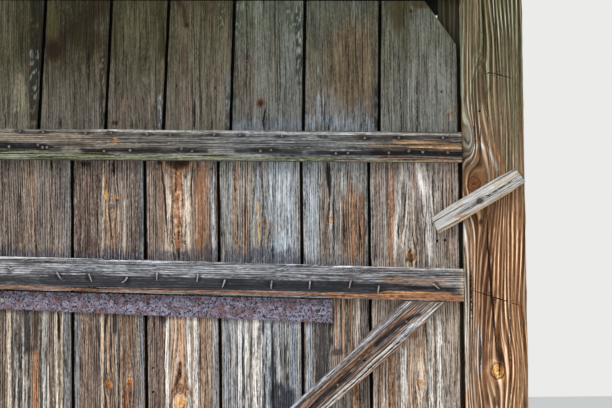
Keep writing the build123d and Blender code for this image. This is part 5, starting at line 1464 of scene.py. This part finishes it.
# The right post's stops grow darker towards the top: painted shade over the post's own colour.
POST_WOOD = dict(
    stops=[(492, 0, (76, 70, 44)), (492, 50, (82, 75, 50)), (492, 85, (96, 83, 58)),
           (492, 130, (124, 99, 74)), (492, 180, (138, 106, 78)), (492, 215, (132, 94, 63)),
           (492, 290, (148, 104, 69)), (492, 340, (174, 128, 92)), (492, 400, (184, 142, 106))],
    seed=71, cracks=14, crack_length=1.6, pale=(150, 126, 96), deep=(52, 34, 20), streaks=0.4,
    contrast=0.6, flow=9, rough=1.3,
    marks=[
        blob(482, 78, 9, 60, (74, 56, 36), 0.7, 0.5),
        streak([(480, 50), (473, 58), (470, 75), (473, 93), (478, 107)], 2.4, (112, 110, 84), 0.7),
        streak([(480, 50), (487, 60), (489, 72), (487, 93), (490, 120)], 2.4, (108, 106, 80), 0.6),
        streak(
            [(471, 162), (473, 149), (480, 144), (489, 151), (498, 170)], 4, (168, 156, 140), 0.7),
        blob(470, 138, 10, 26, (150, 146, 142), 0.5, 0.8),
        streak([(494, 145), (500, 160), (505, 178)], 2.4, (186, 124, 70), 0.6),
        blob(467, 130, 8, 70, (140, 134, 116), 0.6, 0.8),
        blob(463, 60, 3, 150, (128, 126, 100), 0.5, 0.8),
        blob(466, 290, 9, 190, (164, 144, 122), 0.75, 0.8),
        blob(478, 350, 10, 60, (176, 158, 142), 0.7, 0.9),
        blob(494, 280, 16, 190, (108, 72, 46), 0.6, 0.8),
        blob(515, 320, 12, 220, (146, 98, 64), 0.6, 0.8),
        blob(487, 397, 5, 16, (40, 28, 22), 0.85, 0.9),
        blob(495, 402, 4, 12, (48, 34, 24), 0.8, 0.9), blob(521, 60, 5, 160, (84, 80, 56), 0.6, 1),
        blob(523, 260, 4, 160, (96, 70, 46), 0.7, 1), loop(481, 84, 15, 95, 7),
        loop(470, 140, 13, 46, -18), loop(474, 184, 22, 62, 16),
        *stripes(0, 150, (460, 3.6, (132, 130, 106)), (514, 5, (98, 90, 62))),
                *leaning(-20, 0.85, (138, 134, 104),
                         (466, 0, 120), (469.6, -1, 60), (475.5, 0, 46), (493, 4, 130),
                         (496.6, 6, 158), (500, 7, 170), (503.8, 7, 168), (507.6, 6, 170),
                         (511.4, 5, 172), (515.4, 3, 168)),
                *leaning(-20, 0.8, (66, 56, 36),
                         (464, 0, 100), (472.6, 0, 56), (495, 5, 150), (498.4, 6.5, 168),
                         (502, 7, 170), (505.8, 6, 170), (509.6, 5, 172), (513.6, 4, 168),
                         (518, 2, 166)),
        streak(
            [(468, 112), (471, 80), (478, 55), (486, 62), (490, 90), (494, 132)], 1.4,
            (132, 126, 98), 0.85),
        streak(
            [(472, 110), (474, 82), (479, 66), (484, 74), (487, 104)], 1.1, (124, 118, 92), 0.85),
        streak(
            [(470, 112), (473, 80), (478.6, 60), (485, 68), (488.6, 96)], 0.9, (66, 54, 36), 0.85),
        *stripes(
            222, 404, (464.5, 3, (196, 180, 158)), (473, 4, (156, 128, 104)),
            (485, 5.5, (112, 74, 50)), (524, 4, (118, 82, 54))),
                *leaning(216, 1.1, (204, 162, 118),
                         (504, 3, 420), (508.2, 3, 420), (512.4, 2, 420), (516.8, 2, 420),
                         (520.6, 3, 420)),
                *leaning(216, 0.9, (112, 68, 40),
                         (502, 3, 420), (506.2, 3, 420), (510.3, 2, 420), (514.6, 2, 420),
                         (518.8, 3, 420)),
        *lines((232, 222, 206), (462.5, 240, 390, 1), (467, 300, 396, 0.9)),
        *lines(
            (66, 40, 26), (470, 232, 380, 1.1), (479.6, 296, 408, 1.4), (491.6, 218, 356, 1.1),
            (476, 330, 400, 0.9), (488, 300, 345, 0.9), (482.6, 230, 300, 0.8)),
        *lines(
            (190, 144, 102), (494.4, 226, 340, 1), (498.4, 222, 350, 1.1), (473.6, 236, 330, 0.8)),
        blob(498, 371, 24, 26, (172, 116, 70), 0.9, 0.3), loop(486, 300, 16, 120, 6),
        knot(474, 184, 13, (122, 78, 48), (150, 104, 68), 1.5, 2.8),
        knot(498, 371, 14, (208, 144, 74), (204, 160, 122), 1.25, 3.2),
        streak(
            [(492, 364), (498, 361), (504, 365), (505, 373), (500, 379), (493, 377),
             (490.5, 370), (492, 364)],
            1.3, (70, 42, 26), 0.85),
        blob(498, 371, 4, 4.5, (228, 178, 100), 0.8, 0.4),
        crack([(483, 0), (484, 30), (483, 60)], 1.6), crack([(474, 112), (475, 146)], 1.4),
        crack([(487, 212), (488, 246), (494, 320), (497, 356)], 3.6),
        crack([(480, 330), (481, 352), (480, 374)], 2.2), crack([(481, 120), (480, 160)], 1.4),
        crack([(500, 362), (499, 380)], 1.6), crack([(470, 262), (471, 320)], 1.4),
        crack([(487, 72), (498, 74), (512, 78)], 1.6),
        crack([(472, 290), (496, 298), (522, 306)], 1.5),
        blob(481, 222, 4, 8, (34, 22, 16), 0.9, 0.6, 1.5), hole(479.7, 110.8, 2.6),
    ])
LEFT_POST_WOOD = dict(
    stops=[(0, 0, (90, 84, 62)), (0, 400, (156, 126, 100))],
    seed=72, pale=(200, 170, 140), deep=(84, 56, 36), streaks=0.7, contrast=0.34, flow=24,
    rough=1.3)
BEAM_WOOD = dict(
    stops=[(0, 0, (104, 88, 66)), (600, 0, (112, 92, 68))],
    seed=73, pale=(150, 130, 104), deep=(58, 42, 28), streaks=0.7, contrast=0.34, flow=14,
    rough=1.2)
SILL_WOOD = dict(
    stops=[(0, 0, (108, 98, 86)), (600, 0, (112, 102, 90))],
    seed=74, pale=(160, 150, 138), deep=(60, 50, 42), streaks=0.7, contrast=0.36, flow=14,
    rough=1.2)
# The side stop strips: dark brown and darker towards the top, painted shade over the wood's own
# colour.
STOP_WOOD = dict(
    stops=[(447, 0, (48, 43, 26)), (447, 408, (70, 60, 46))],
    seed=75, pale=(74, 70, 54), deep=(28, 24, 12), streaks=0.6, contrast=0.2, cup=0.3)
# The head stop strip is painted nearly black: painted shade where the leaf's cut corner shows it.
HEAD_STOP_BLACK_SHADE = dict(
    stops=[(0, 0, (9, 8, 6)), (600, 0, (9, 8, 6))],
    seed=76, cracks=0, pale=(12, 11, 9), deep=(6, 5, 4), streaks=0.3, contrast=0.02, cup=0.3)

# Leaf: boards with lapped joints, each joint's line from front to back on either side
# The third number of each point darkens the joint's faces: painted shade with some grime, near
# black on the tongue's face seen in the gap.
JOINT_FRONT = [(0, 1.8, 0.35), (0, 4.5, 0.9), (0, LAP_FACE, 0.97)]
TONGUE = LAP - TONGUE_GAP / 2 + BOARD_GAP / 2
GROOVE = -(LAP + TONGUE_GAP / 2 - BOARD_GAP / 2)
JOINT_HIGH = JOINT_FRONT + [(TONGUE, LAP_FACE, 0.97), (TONGUE, BOARD_THICKNESS - 1.2, 0.6)]
JOINT_LOW = JOINT_FRONT + [(GROOVE, LAP_FACE, 0.97), (GROOVE, BOARD_THICKNESS - 1.2, 0.6)]


def cut_corner(t):
    height = leaf_top(LEAF_RIGHT) - upper_middle(LEAF_RIGHT) - BUTT_GAP / 2
    start = 1 - CORNER_CUT_HEIGHT / height
    return CORNER_CUT_WIDTH * np.clip((t - start) / (1 - start), 0, 1)


def boards(name, widths, shifts, woods, base, bottom, top, material, last_edge=None, **settings):
    """A row of boards; bottom and top give a corner from its joint's place and the shift."""
    places = list(accumulate([LEAF_LEFT, *widths]))
    for number, wood in enumerate(woods):
        first, last = number == 0, number == len(woods) - 1
        low = places[number] + (0 if first else BOARD_GAP / 2)
        high = places[number + 1] - (0 if last else BOARD_GAP / 2)
        joints = (low, shifts[number]), (high, shifts[number + 1])
        corners = [end(*joint) for end in (bottom, top) for joint in joints]
        wood = {**base, "seed": base["seed"] + number, **wood}
        plank(f"{name}_{number + 1}", corners, 0, BOARD_THICKNESS, wood, material, "door_leaf",
              name + "s", low_side=None if first else JOINT_LOW,
              high_side=None if last else JOINT_HIGH, high_edge=last_edge if last else None,
              back_wood=BACK_WOOD, **settings)


boards("upper_board", UPPER_WIDTHS, UPPER_LEANS, UPPER_WOODS,
       {"seed": 11, "contrast": 0.42, "streaks": 0.4},
       lambda x, lean: (x, upper_middle(x) + BUTT_GAP / 2),
       lambda x, lean: (x + lean, leaf_top(x + lean)),
       upper_wood, cut_corner, wobble=1.5, column=1.6, row=4.4)
boards("lower_board", LOWER_WIDTHS, LOWER_DRIFTS, LOWER_WOODS,
       {"seed": 31, "contrast": 0.6, "streaks": 0.3},
       lambda x, drift: (x + drift, LEAF_BOTTOM),
       lambda x, drift: (x, upper_middle(x) - BUTT_GAP / 2),
       lower_wood, wobble=1.3, coarse_below=UNSEEN_BELOW, column=1.5, row=4.8)

# A dark stain round each nail of the battens and the brace
for wood, node, across, along in (
    (UPPER_BATTEN_WOOD, "upper_batten_nails", 4.6, 15),
    (MIDDLE_BATTEN_WOOD, "middle_batten_nails", 9, 9),
    (LOWER_BATTEN_WOOD, "lower_batten_nails", 7.5, 14),
    (BRACE_WOOD, "brace_nails", 4.5, 20),
):
    for points in solids(node):
        x, _, z = middle_of(points)
        px, py = unspot(x, z, -BATTEN_THICKNESS)
        wood.setdefault("marks", []).append(blob(px, py, across, along, BLACK_STAIN, 0.75, 0.9))

BATTENS = "battens"
# The battens' sides darken towards the back: painted shade.
BATTEN_SIDE = [(0, 1.2, 0.0), (0, BATTEN_THICKNESS * 0.5, 0.2), (0, BATTEN_THICKNESS - 1.2, 0.3)]
for node, wood, bottom, top in (
    ("upper_batten", UPPER_BATTEN_WOOD,
     lambda x: upper_middle(x) - BATTEN_HALF, lambda x: upper_middle(x) + BATTEN_HALF),
    ("middle_batten", MIDDLE_BATTEN_WOOD, middle_bottom, middle_top),
    ("lower_batten", LOWER_BATTEN_WOOD,
     lambda x: lower_middle(x) - BATTEN_HALF, lambda x: lower_middle(x) + BATTEN_HALF),
):
    corners = [(x, f(x)) for x in (LEAF_LEFT, BATTEN_RIGHT) for f in (bottom, top)]
    plank(node, corners, -BATTEN_THICKNESS, BATTEN_THICKNESS, wood, batten_wood, "door_leaf",
          BATTENS, along_axis=(1, 0), column=1.5, row=4.8, wobble=0.7, low_side=BATTEN_SIDE,
          high_side=BATTEN_SIDE, round_by=1.2)

# Brace between the battens; its edges as shares of its length from the top and of its width
BRACE_WIDTH = 58
BRACE_UPPER_EDGE = [(-0.05, 0.52), (0.03, 0.57), (0.075, 0.645), (0.1, 0.6), (0.135, 0.5),
                    (0.155, 0.5), (0.185, 0.55), (0.27, 0.535), (0.45, 0.48), (0.62, 0.535),
                    (0.8, 0.48), (1.05, 0.52)]
BRACE_LOWER_EDGE = [(-0.05, 0.465), (0.03, 0.475), (0.11, 0.51), (0.155, 0.455), (0.2, 0.415),
                    (0.24, 0.355), (0.34, 0.38), (0.5, 0.43), (0.68, 0.38), (0.85, 0.45),
                    (1.05, 0.415)]
BRACE_HIGH, BRACE_LOW = 0.645 * BRACE_WIDTH, 0.51 * BRACE_WIDTH


def brace_ceiling(x):
    return middle_bottom(x) - 1.5


def brace_floor(x):
    return lower_middle(x) + 32.5


BRACE_TOP_X, BRACE_FOOT_X = LEAF_RIGHT - 67, LEAF_LEFT + 62
brace_top = np.array([BRACE_TOP_X, brace_ceiling(BRACE_TOP_X)])
brace_foot = np.array([BRACE_FOOT_X, brace_floor(BRACE_FOOT_X)])
brace_axis = brace_top - brace_foot
brace_axis = brace_axis / np.linalg.norm(brace_axis)
brace_across = np.array([-brace_axis[1], brace_axis[0]])


def meet(point, direction, f):
    """Where the line from point along direction meets the sloped line f(x)."""
    for _ in range(30):
        step = (f(point[0]) - point[1]) / direction[1]
        point = point + direction * step
    return point


brace_corners = [
    meet(place + side * brace_across, brace_axis, f)
    for place, f in ((brace_foot, brace_floor), (brace_top, brace_ceiling))
    for side in (-BRACE_LOW, BRACE_HIGH)
]


def brace_edge(start, end, places, furthest):
    """How far the brace's edge lies inside its furthest point, all along it."""
    top, foot = brace_top @ brace_axis, brace_foot @ brace_axis

    def inward(t):
        along = (1 - t) * (start @ brace_axis) + t * (end @ brace_axis)
        share = (top - along) / (top - foot)
        return furthest - BRACE_WIDTH * np.interp(share, *zip(*places))

    return inward


plank("brace", brace_corners, -BATTEN_THICKNESS, BATTEN_THICKNESS, BRACE_WOOD, batten_wood,
      "door_leaf", BATTENS, along_axis=tuple(brace_axis), column=1.5, row=4.8,
      low_edge=brace_edge(brace_corners[0], brace_corners[2], BRACE_LOWER_EDGE, BRACE_LOW),
      high_edge=brace_edge(brace_corners[1], brace_corners[3], BRACE_UPPER_EDGE, BRACE_HIGH))

# Frame timbers, with the grooves for the wall logs' tongues on the outer sides
GROOVE_WIDTH, GROOVE_DEPTH = 50, 35


# The third number of each side point is painted shade, deepest in the groove.
def grooved(front):
    start = (FRAME_FRONT + FRAME_BACK) / 2 - GROOVE_WIDTH / 2 - front
    end = start + GROOVE_WIDTH
    return [(0, 2.5, 0.1), (0, start / 2, 0.15), (0, start - 0.5, 0.2),
            (-GROOVE_DEPTH, start, 0.6), (-GROOVE_DEPTH, end, 0.6),
            (0, end + 0.5, 0.2), (0, FRAME_BACK - front - 2, 0.2)]


# The third numbers are painted shade on the side.
def plain_side(depth):
    return [(0, 2.5, 0.1), (0, depth * 0.3, 0.3), (0, depth * 0.6, 0.35), (0, depth - 2, 0.25)]


for node, side, front, wood, coarse_below in (
    ("left_post", -1, HINGE_POST_FRONT, LEFT_POST_WOOD, ALL_UNSEEN),
    ("right_post", 1, FRAME_FRONT, POST_WOOD, UNSEEN_BELOW),
):
    low, high = sorted((side * OPENING_HALF, side * FRAME_HALF))
    corners = [(x, z) for z in (SILL_TOP, HEAD_BOTTOM) for x in (low, high)]
    depth = FRAME_BACK - front
    low_side, high_side = [plain_side(depth), grooved(front)][::side]
    plank(node, corners, front, depth, wood, frame_wood, "frame", "frame_timber",
          low_side=low_side, high_side=high_side, column=1.8, row=5.0, wobble=1.6,
          round_by=2.5, coarse_below=coarse_below)
for node, bottom, top, wood in (
    ("head_beam", HEAD_BOTTOM, HEAD_TOP, BEAM_WOOD),
    ("sill", 0, SILL_TOP, SILL_WOOD),
):
    corners = [(x, z) for x in (-FRAME_HALF, FRAME_HALF) for z in (bottom, top)]
    depth = FRAME_BACK - FRAME_FRONT
    plank(node, corners, FRAME_FRONT, depth, wood, frame_wood, "frame", "frame_timber",
          along_axis=(1, 0), low_side=plain_side(depth), high_side=plain_side(depth),
          column=4, row=10, wobble=1.2, round_by=2.5)

# Stop strips, painted dark with shade: the side strips darker towards the top, the head strip
# nearly black where the leaf covers it
STOP_REACH, STOP_FRONT, STOP_THICKNESS = 43, BOARD_THICKNESS + 0.5, 25
STOP_INNER = OPENING_HALF - STOP_REACH
for node, (low, high), (bottom, top), wood, axis in (
    ("left_stop_strip", (-OPENING_HALF, -STOP_INNER), (SILL_TOP, HEAD_BOTTOM), STOP_WOOD, (0, 1)),
    ("right_stop_strip", (STOP_INNER, OPENING_HALF), (SILL_TOP, HEAD_BOTTOM), STOP_WOOD, (0, 1)),
    ("head_stop_strip", (-STOP_INNER, STOP_INNER), (HEAD_BOTTOM - STOP_REACH, HEAD_BOTTOM),
     HEAD_STOP_BLACK_SHADE, (1, 0)),
):
    if axis == (0, 1):
        corners = [(x, z) for z in (bottom, top) for x in (low, high)]
    else:
        corners = [(x, z) for x in (low, high) for z in (bottom, top)]
    plank(node, corners, STOP_FRONT, STOP_THICKNESS, wood, frame_wood, "frame", "stop_strips",
          along_axis=axis, column=5, row=12, wobble=0.4, round_by=1.2)

# Turn button
PIVOT = np.array([593.5, 1525.2])
BUTTON_LENGTH, BUTTON_THICKNESS = 202.5, 18
tilt = math.radians(30)
button_axis = np.array([math.cos(tilt), math.sin(tilt)])
button_across = np.array([-math.sin(tilt), math.cos(tilt)])
button_corners = [
    PIVOT + a * button_axis + c * button_across
    for a, c in ((-105.8, -17.5), (-101.2, 22), (101.3, -17.5), (96.7, 22))
]


def worn_corners(t):
    from_end = np.minimum(t, 1 - t) * BUTTON_LENGTH
    return 2.5 * np.clip(1 - from_end / 35, 0, 1)


plank("turn_button", button_corners, FRAME_FRONT - 18.3, BUTTON_THICKNESS, BUTTON_WOOD,
      button_wood, "turn_button", "button_wood", along_axis=tuple(button_axis), column=1.6,
      row=3.0, wobble=0.5, round_by=1.2, ends=0.8, low_edge=worn_corners, high_edge=worn_corners)

# Iron
nail_iron = old_iron("nail_iron", (156, 146, 142), (120, 88, 74), (80, 66, 60), 0.4, 2.0)
strap_iron = old_iron("strap_iron", (172, 166, 190), (128, 82, 74), (22, 14, 14), 0.45, 1.25)
clinch_iron = old_iron("clinch_iron", (206, 200, 202), (150, 116, 104), (120, 106, 102), 0.2, 2.0)
pintle_iron = old_iron("pintle_iron", (84, 78, 80), (100, 66, 48), (36, 30, 30), 0.5)
bolt_iron = old_iron("bolt_iron", (206, 200, 198), (140, 108, 90), (90, 80, 76), 0.2, 2.0)


def dome(centre, normal_y, radius, height, seed, sink=1.0, sides=12):
    """A hammered nail or bolt head on a face that looks along -Y (normal_y -1) or +Y."""
    rng = np.random.default_rng(seed)
    rings = [(1.0, -sink), (1.0, 0.15 * height), (0.86, 0.62 * height), (0.5, 0.93 * height)]
    lumps = 1 - 0.14 * rng.random(sides)
    tip = rng.uniform(-0.12, 0.12, 2)
    points = []
    for scale, rise in rings:
        for k in range(sides):
            a = 2 * math.pi * k / sides
            r = radius * scale * lumps[k]
            points.append([centre[0] + r * math.cos(a), centre[1] + normal_y * rise,
                           centre[2] + r * math.sin(a)])
    points.append([centre[0] + tip[0] * radius, centre[1] + normal_y * height,
                   centre[2] + tip[1] * radius])
    top = (len(rings) - 1) * sides
    faces = side_faces(len(rings), sides)
    faces += [[top + k, top + (k + 1) % sides, len(points) - 1] for k in range(sides)]
    faces.append(list(range(sides))[::-1])
    if normal_y > 0:
        faces = [f[::-1] for f in faces]
    return np.array(points), faces


def bar(path, halves, sides=8):
    """A closed bar through path with a rounded square section of the given half sizes."""
    path = np.asarray(path, float)
    points = []
    ahead = np.gradient(path, axis=0)
    ahead /= np.linalg.norm(ahead, axis=1)[:, None]
    for p, d, h in zip(path, ahead, halves):
        side = np.cross(d, [0.3, 0.9, 0.1])
        side /= np.linalg.norm(side)
        other = np.cross(d, side)
        for k in range(sides):
            a = 2 * math.pi * (k + 0.5) / sides
            c, s = math.cos(a), math.sin(a)
            m = h / max(abs(c), abs(s)) * 0.93
            points.append(p + side * c * m + other * s * m)
    return np.array(points), tube_faces(len(path), sides)


def join(parts):
    points, faces, count = [], [], 0
    for p, f in parts:
        points.append(p)
        faces += [[i + count for i in face] for face in f]
        count += len(p)
    return np.concatenate(points), faces


for node in ("upper_batten_nails", "brace_nails"):
    heads = []
    for index, points in enumerate(sorted(solids(node), key=lambda p: p[:, 0].mean())):
        x, _, z = middle_of(points)
        radius = 3.3 * np.random.default_rng(500 + index).uniform(0.82, 1.0)
        heads.append(dome((x, -BATTEN_THICKNESS, z), -1, radius, 1.55, index, 3.0))
    make_piece("worn_" + node, *join(heads), nail_iron, "door_leaf", "nails", [node], smooth=50)

# Nails driven from behind, their tips hammered over on the front
CLINCH_BENDS = {2: 0.9, 5: -0.5}
TIP_DEPTHS = [-28.0, -28.4, -28.5, -28.4, -28.3, -28.2, -28.0, -27.8, -27.4]


def clinched_nail(points, index):
    back = points[points[:, 1] > 26.5]
    x, z = back[:, 0].mean(), back[:, 2].mean()
    front = points[points[:, 1] < -BATTEN_THICKNESS - 1]
    away = np.hypot(front[:, 0] - x, front[:, 2] - z)
    tips = front[away > away.max() - 2]
    toward = np.array([tips[:, 0].mean() - x, tips[:, 2].mean() - z])
    toward /= np.linalg.norm(toward)
    bend = CLINCH_BENDS.get(index, 0.12 * math.sin(index * 2.3))
    path = [[x, 4 - 9 * k, z] for k in range(4)]
    halves = [1.9] * 4
    place, angle = np.array([x, z]), 0.0
    for k, depth in enumerate(TIP_DEPTHS):
        c, s = math.cos(angle), math.sin(angle)
        d = np.array([toward[0] * c - toward[1] * s, toward[0] * s + toward[1] * c])
        place = place + d * (0.6 if k == 0 else 1.95)
        path.append([place[0], depth, place[1]])
        halves.append(1.9 - 0.12 * k)
        angle += bend * 0.25
    return [bar(path, halves), dome((x, 26, z), 1, 3.2, 1.55, index + 40, 3.0)]


for node in ("middle_batten_nails", "lower_batten_nails"):
    parts = []
    nails = sorted(solids(node), key=lambda p: p[p[:, 1] > 10][:, 0].mean())
    for index, points in enumerate(nails):
        parts += clinched_nail(points, index)
    make_piece("worn_" + node, *join(parts), clinch_iron, "door_leaf", "nails", [node], smooth=50)

# Strap hinges: a flat forged bar, its end rolled round the pin
STRAP_END, AXIS_X, AXIS_Y, EYE_RADIUS, PIN_HOLE = 291.5, -586.0, -13.25, 13.25, 7.25
STRAP_FRONT, NAIL_HOLE, NAIL_HOLE_SHARE = -6.0, 4.15, 0.966


def strap_half(x):
    return 17 + 7 * (x - AXIS_X) / (STRAP_END - AXIS_X)


def upper_strap_middle(x):
    return middle_bottom(x) - 3 - strap_half(x)


def lower_strap_middle(x):
    return lower_middle(x) - 39 - strap_half(x)


def strap_profile():
    """The strap seen from above: its front, round the eye, and its back, with the normals."""
    front = [(x, STRAP_FRONT) for x in np.linspace(STRAP_END, AXIS_X + 13.6, 230)]
    rise = STRAP_FRONT - AXIS_Y
    start = math.atan2(rise, EYE_RADIUS * math.cos(math.asin(rise / EYE_RADIUS)))
    eye_round = [(AXIS_X + EYE_RADIUS * math.cos(a), AXIS_Y + EYE_RADIUS * math.sin(a))
                 for a in np.linspace(start, -2 * math.pi + math.pi / 2, 40)]
    back = [(x, 0.0) for x in np.linspace(AXIS_X, STRAP_END, 60)[1:]]
    profile = np.array(front + eye_round + back)
    tangent = np.roll(profile, -1, 0) - np.roll(profile, 1, 0)
    tangent /= np.linalg.norm(tangent, axis=1)[:, None]
    return profile, np.stack([tangent[:, 1], -tangent[:, 0]], 1)


def drill(piece, x, z, radius, upright):
    """Cuts a round hole, along Z for the pin or along Y for a nail."""
    place = (x * MM, (AXIS_Y if upright else -3) * MM, z * MM)
    bpy.ops.mesh.primitive_cylinder_add(
        vertices=40, radius=radius * MM, depth=0.1 if upright else 0.03, location=place,
        rotation=(0, 0, 0) if upright else (math.pi / 2, 0, 0))
    cutter = bpy.context.object
    cut = piece.modifiers.new("cut", "BOOLEAN")
    cut.object = cutter
    cut.operation = "DIFFERENCE"
    cut.solver = "EXACT"
    bpy.context.view_layer.objects.active = piece
    bpy.ops.object.modifier_apply(modifier="cut")
    bpy.data.objects.remove(cutter)


STRAP_ROWS = np.concatenate([[-24, -23.2], np.linspace(-21.5, 21.5, 18), [23.2, 24]]) / 24
STRAP_PULLS = np.concatenate([[0.9, 0.15], np.zeros(18), [0.15, 0.9]])
profile, normals = strap_profile()
for node, height, seed in (
    ("upper_strap", upper_strap_middle, 5),
    ("lower_strap", lower_strap_middle, 6),
):
    points = []
    for row_at, pull in zip(STRAP_ROWS, STRAP_PULLS):
        edge = min(1.2 * abs(row_at), 1)
        for (x, y), n in zip(profile, normals):
            z = height(max(x, AXIS_X))
            waver = 0.012 * edge * (1 + fractal(x / 25, row_at * 0 + 3, seed))
            z = z + strap_half(max(x, AXIS_X)) * row_at * (1 - waver)
            pit = 0.32 * np.clip(fractal(x / 7, z / 7, seed + 2) - 0.05, 0, 1)
            bow = 0.25 * (0.5 + 0.5 * noise(x / 60, z / 60, seed + 5))
            pulled = pull + (pit + bow if y < -1 else 0)
            points.append([x + n[0] * -pulled, y + n[1] * -pulled, z])
    faces = tube_faces(len(STRAP_ROWS), len(profile))
    piece = make_piece("worn_" + node, np.array(points), faces, strap_iron, "door_leaf",
                       "hinge_iron", [node])
    drill(piece, AXIS_X, height(AXIS_X), PIN_HOLE, True)
    if node == "upper_strap":
        x = LEAF_LEFT + NAIL_HOLE_SHARE * (STRAP_END - LEAF_LEFT)
        drill(piece, x, height(x), NAIL_HOLE, False)

# Bolts: a domed head on the strap, a square nut behind the boards
for node in ("upper_strap_bolts", "lower_strap_bolts"):
    parts = []
    for index, points in enumerate(solids(node)):
        x, _, z = middle_of(points)
        parts.append(dome((x, STRAP_FRONT, z), -1, 5.5, 2.9, index + 80, 4.0, 20))
        shank = [[x + 4 * math.cos(a), y, z + 4 * math.sin(a)]
                 for y in (-4, 31.8) for a in np.linspace(0, 2 * math.pi, 16, endpoint=False)]
        parts.append((np.array(shank), tube_faces(2, 16)))
        nut = [[x + half * side_x, y, z + half * side_z]
               for y, half in ((26, 7.0), (31, 7.0), (31.9, 6.2))
               for side_x, side_z in ((-1, -1), (1, -1), (1, 1), (-1, 1))]
        parts.append((np.array(nut), tube_faces(3, 4)))
    make_piece("worn_" + node, *join(parts), bolt_iron, "door_leaf", "bolts", [node], smooth=40)

# The CAD pieces that keep their own shape
for node, material in (
    ("frame_pegs", peg_wood("peg_wood", (176, 144, 104), (92, 68, 44))),
    ("stop_strip_nails", pintle_iron),
    ("turn_button_nail",
     old_iron("button_nail_iron", (96, 80, 72), (110, 70, 46), (40, 32, 28), 0.6, 2.0)),
    ("upper_pintle", pintle_iron),
    ("lower_pintle", pintle_iron),
):
    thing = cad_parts[node]
    thing.data.materials.clear()
    thing.data.materials.append(material)

# Stage, light and camera
floor_graph = Graph("pale_floor")
where = floor_graph.add("TexCoord").outputs["Object"]
cloud = floor_graph.noise(where, 2.0, 0.5, 3.0)
floor_colour = floor_graph.mix(cloud, (0.78, 0.78, 0.77, 1), (0.82, 0.82, 0.81, 1))
floor_material = floor_graph.finish(floor_colour, 0.9, cloud, 0.0001, 0.1)
bpy.ops.mesh.primitive_plane_add(size=40, location=(0, 0, 0))
floor = bpy.context.object
floor.name = "floor"
floor.data.materials.append(floor_material)

world = bpy.data.worlds.new("studio")
bpy.context.scene.world = world
world.use_nodes = True
tree = world.node_tree
tree.nodes.clear()
output = tree.nodes.new("ShaderNodeOutputWorld")
path = tree.nodes.new("ShaderNodeLightPath")
lit = tree.nodes.new("ShaderNodeBackground")
seen = tree.nodes.new("ShaderNodeBackground")
either = tree.nodes.new("ShaderNodeMixShader")
lit.inputs["Color"].default_value = (0.95, 0.98, 1.0, 1)
lit.inputs["Strength"].default_value = 0.75
seen.inputs["Color"].default_value = (0.83, 0.83, 0.82, 1)
seen.inputs["Strength"].default_value = 1.0
tree.links.new(path.outputs["Is Camera Ray"], either.inputs[0])
tree.links.new(lit.outputs[0], either.inputs[1])
tree.links.new(seen.outputs[0], either.inputs[2])
tree.links.new(either.outputs[0], output.inputs["Surface"])


def area_light(name, place, target, size, energy):
    light = bpy.data.lights.new(name, "AREA")
    light.shape = "DISK"
    light.size = size
    light.energy = energy
    lamp = bpy.data.objects.new(name, light)
    lamp.location = place
    back = np.array(place) - np.array(target)
    lamp.rotation_euler = Vector(back).to_track_quat("Z", "Y").to_euler()
    bpy.context.scene.collection.objects.link(lamp)


area_light("soft_key", (-2.4, -3.0, 4.4), (0, 0, 1.2), 2.2, 120)
area_light("soft_back", (2.4, 3.4, 3.8), (0, 0, 1.2), 2.6, 90)

camera_data = bpy.data.cameras.new("camera")
camera_data.sensor_width = SENSOR_WIDTH
camera_data.lens = FOCAL_PIXELS / IMAGE_WIDTH * SENSOR_WIDTH
camera_data.clip_end = 100
camera = bpy.data.objects.new("camera", camera_data)
bpy.context.scene.collection.objects.link(camera)
pose = Matrix.Identity(4)
for column, vector in enumerate((right, up, -forward, eye * MM)):
    for line in range(3):
        pose[line][column] = vector[line]
camera.matrix_world = pose
bpy.context.scene.camera = camera
bpy.context.scene.view_settings.view_transform = "Standard"
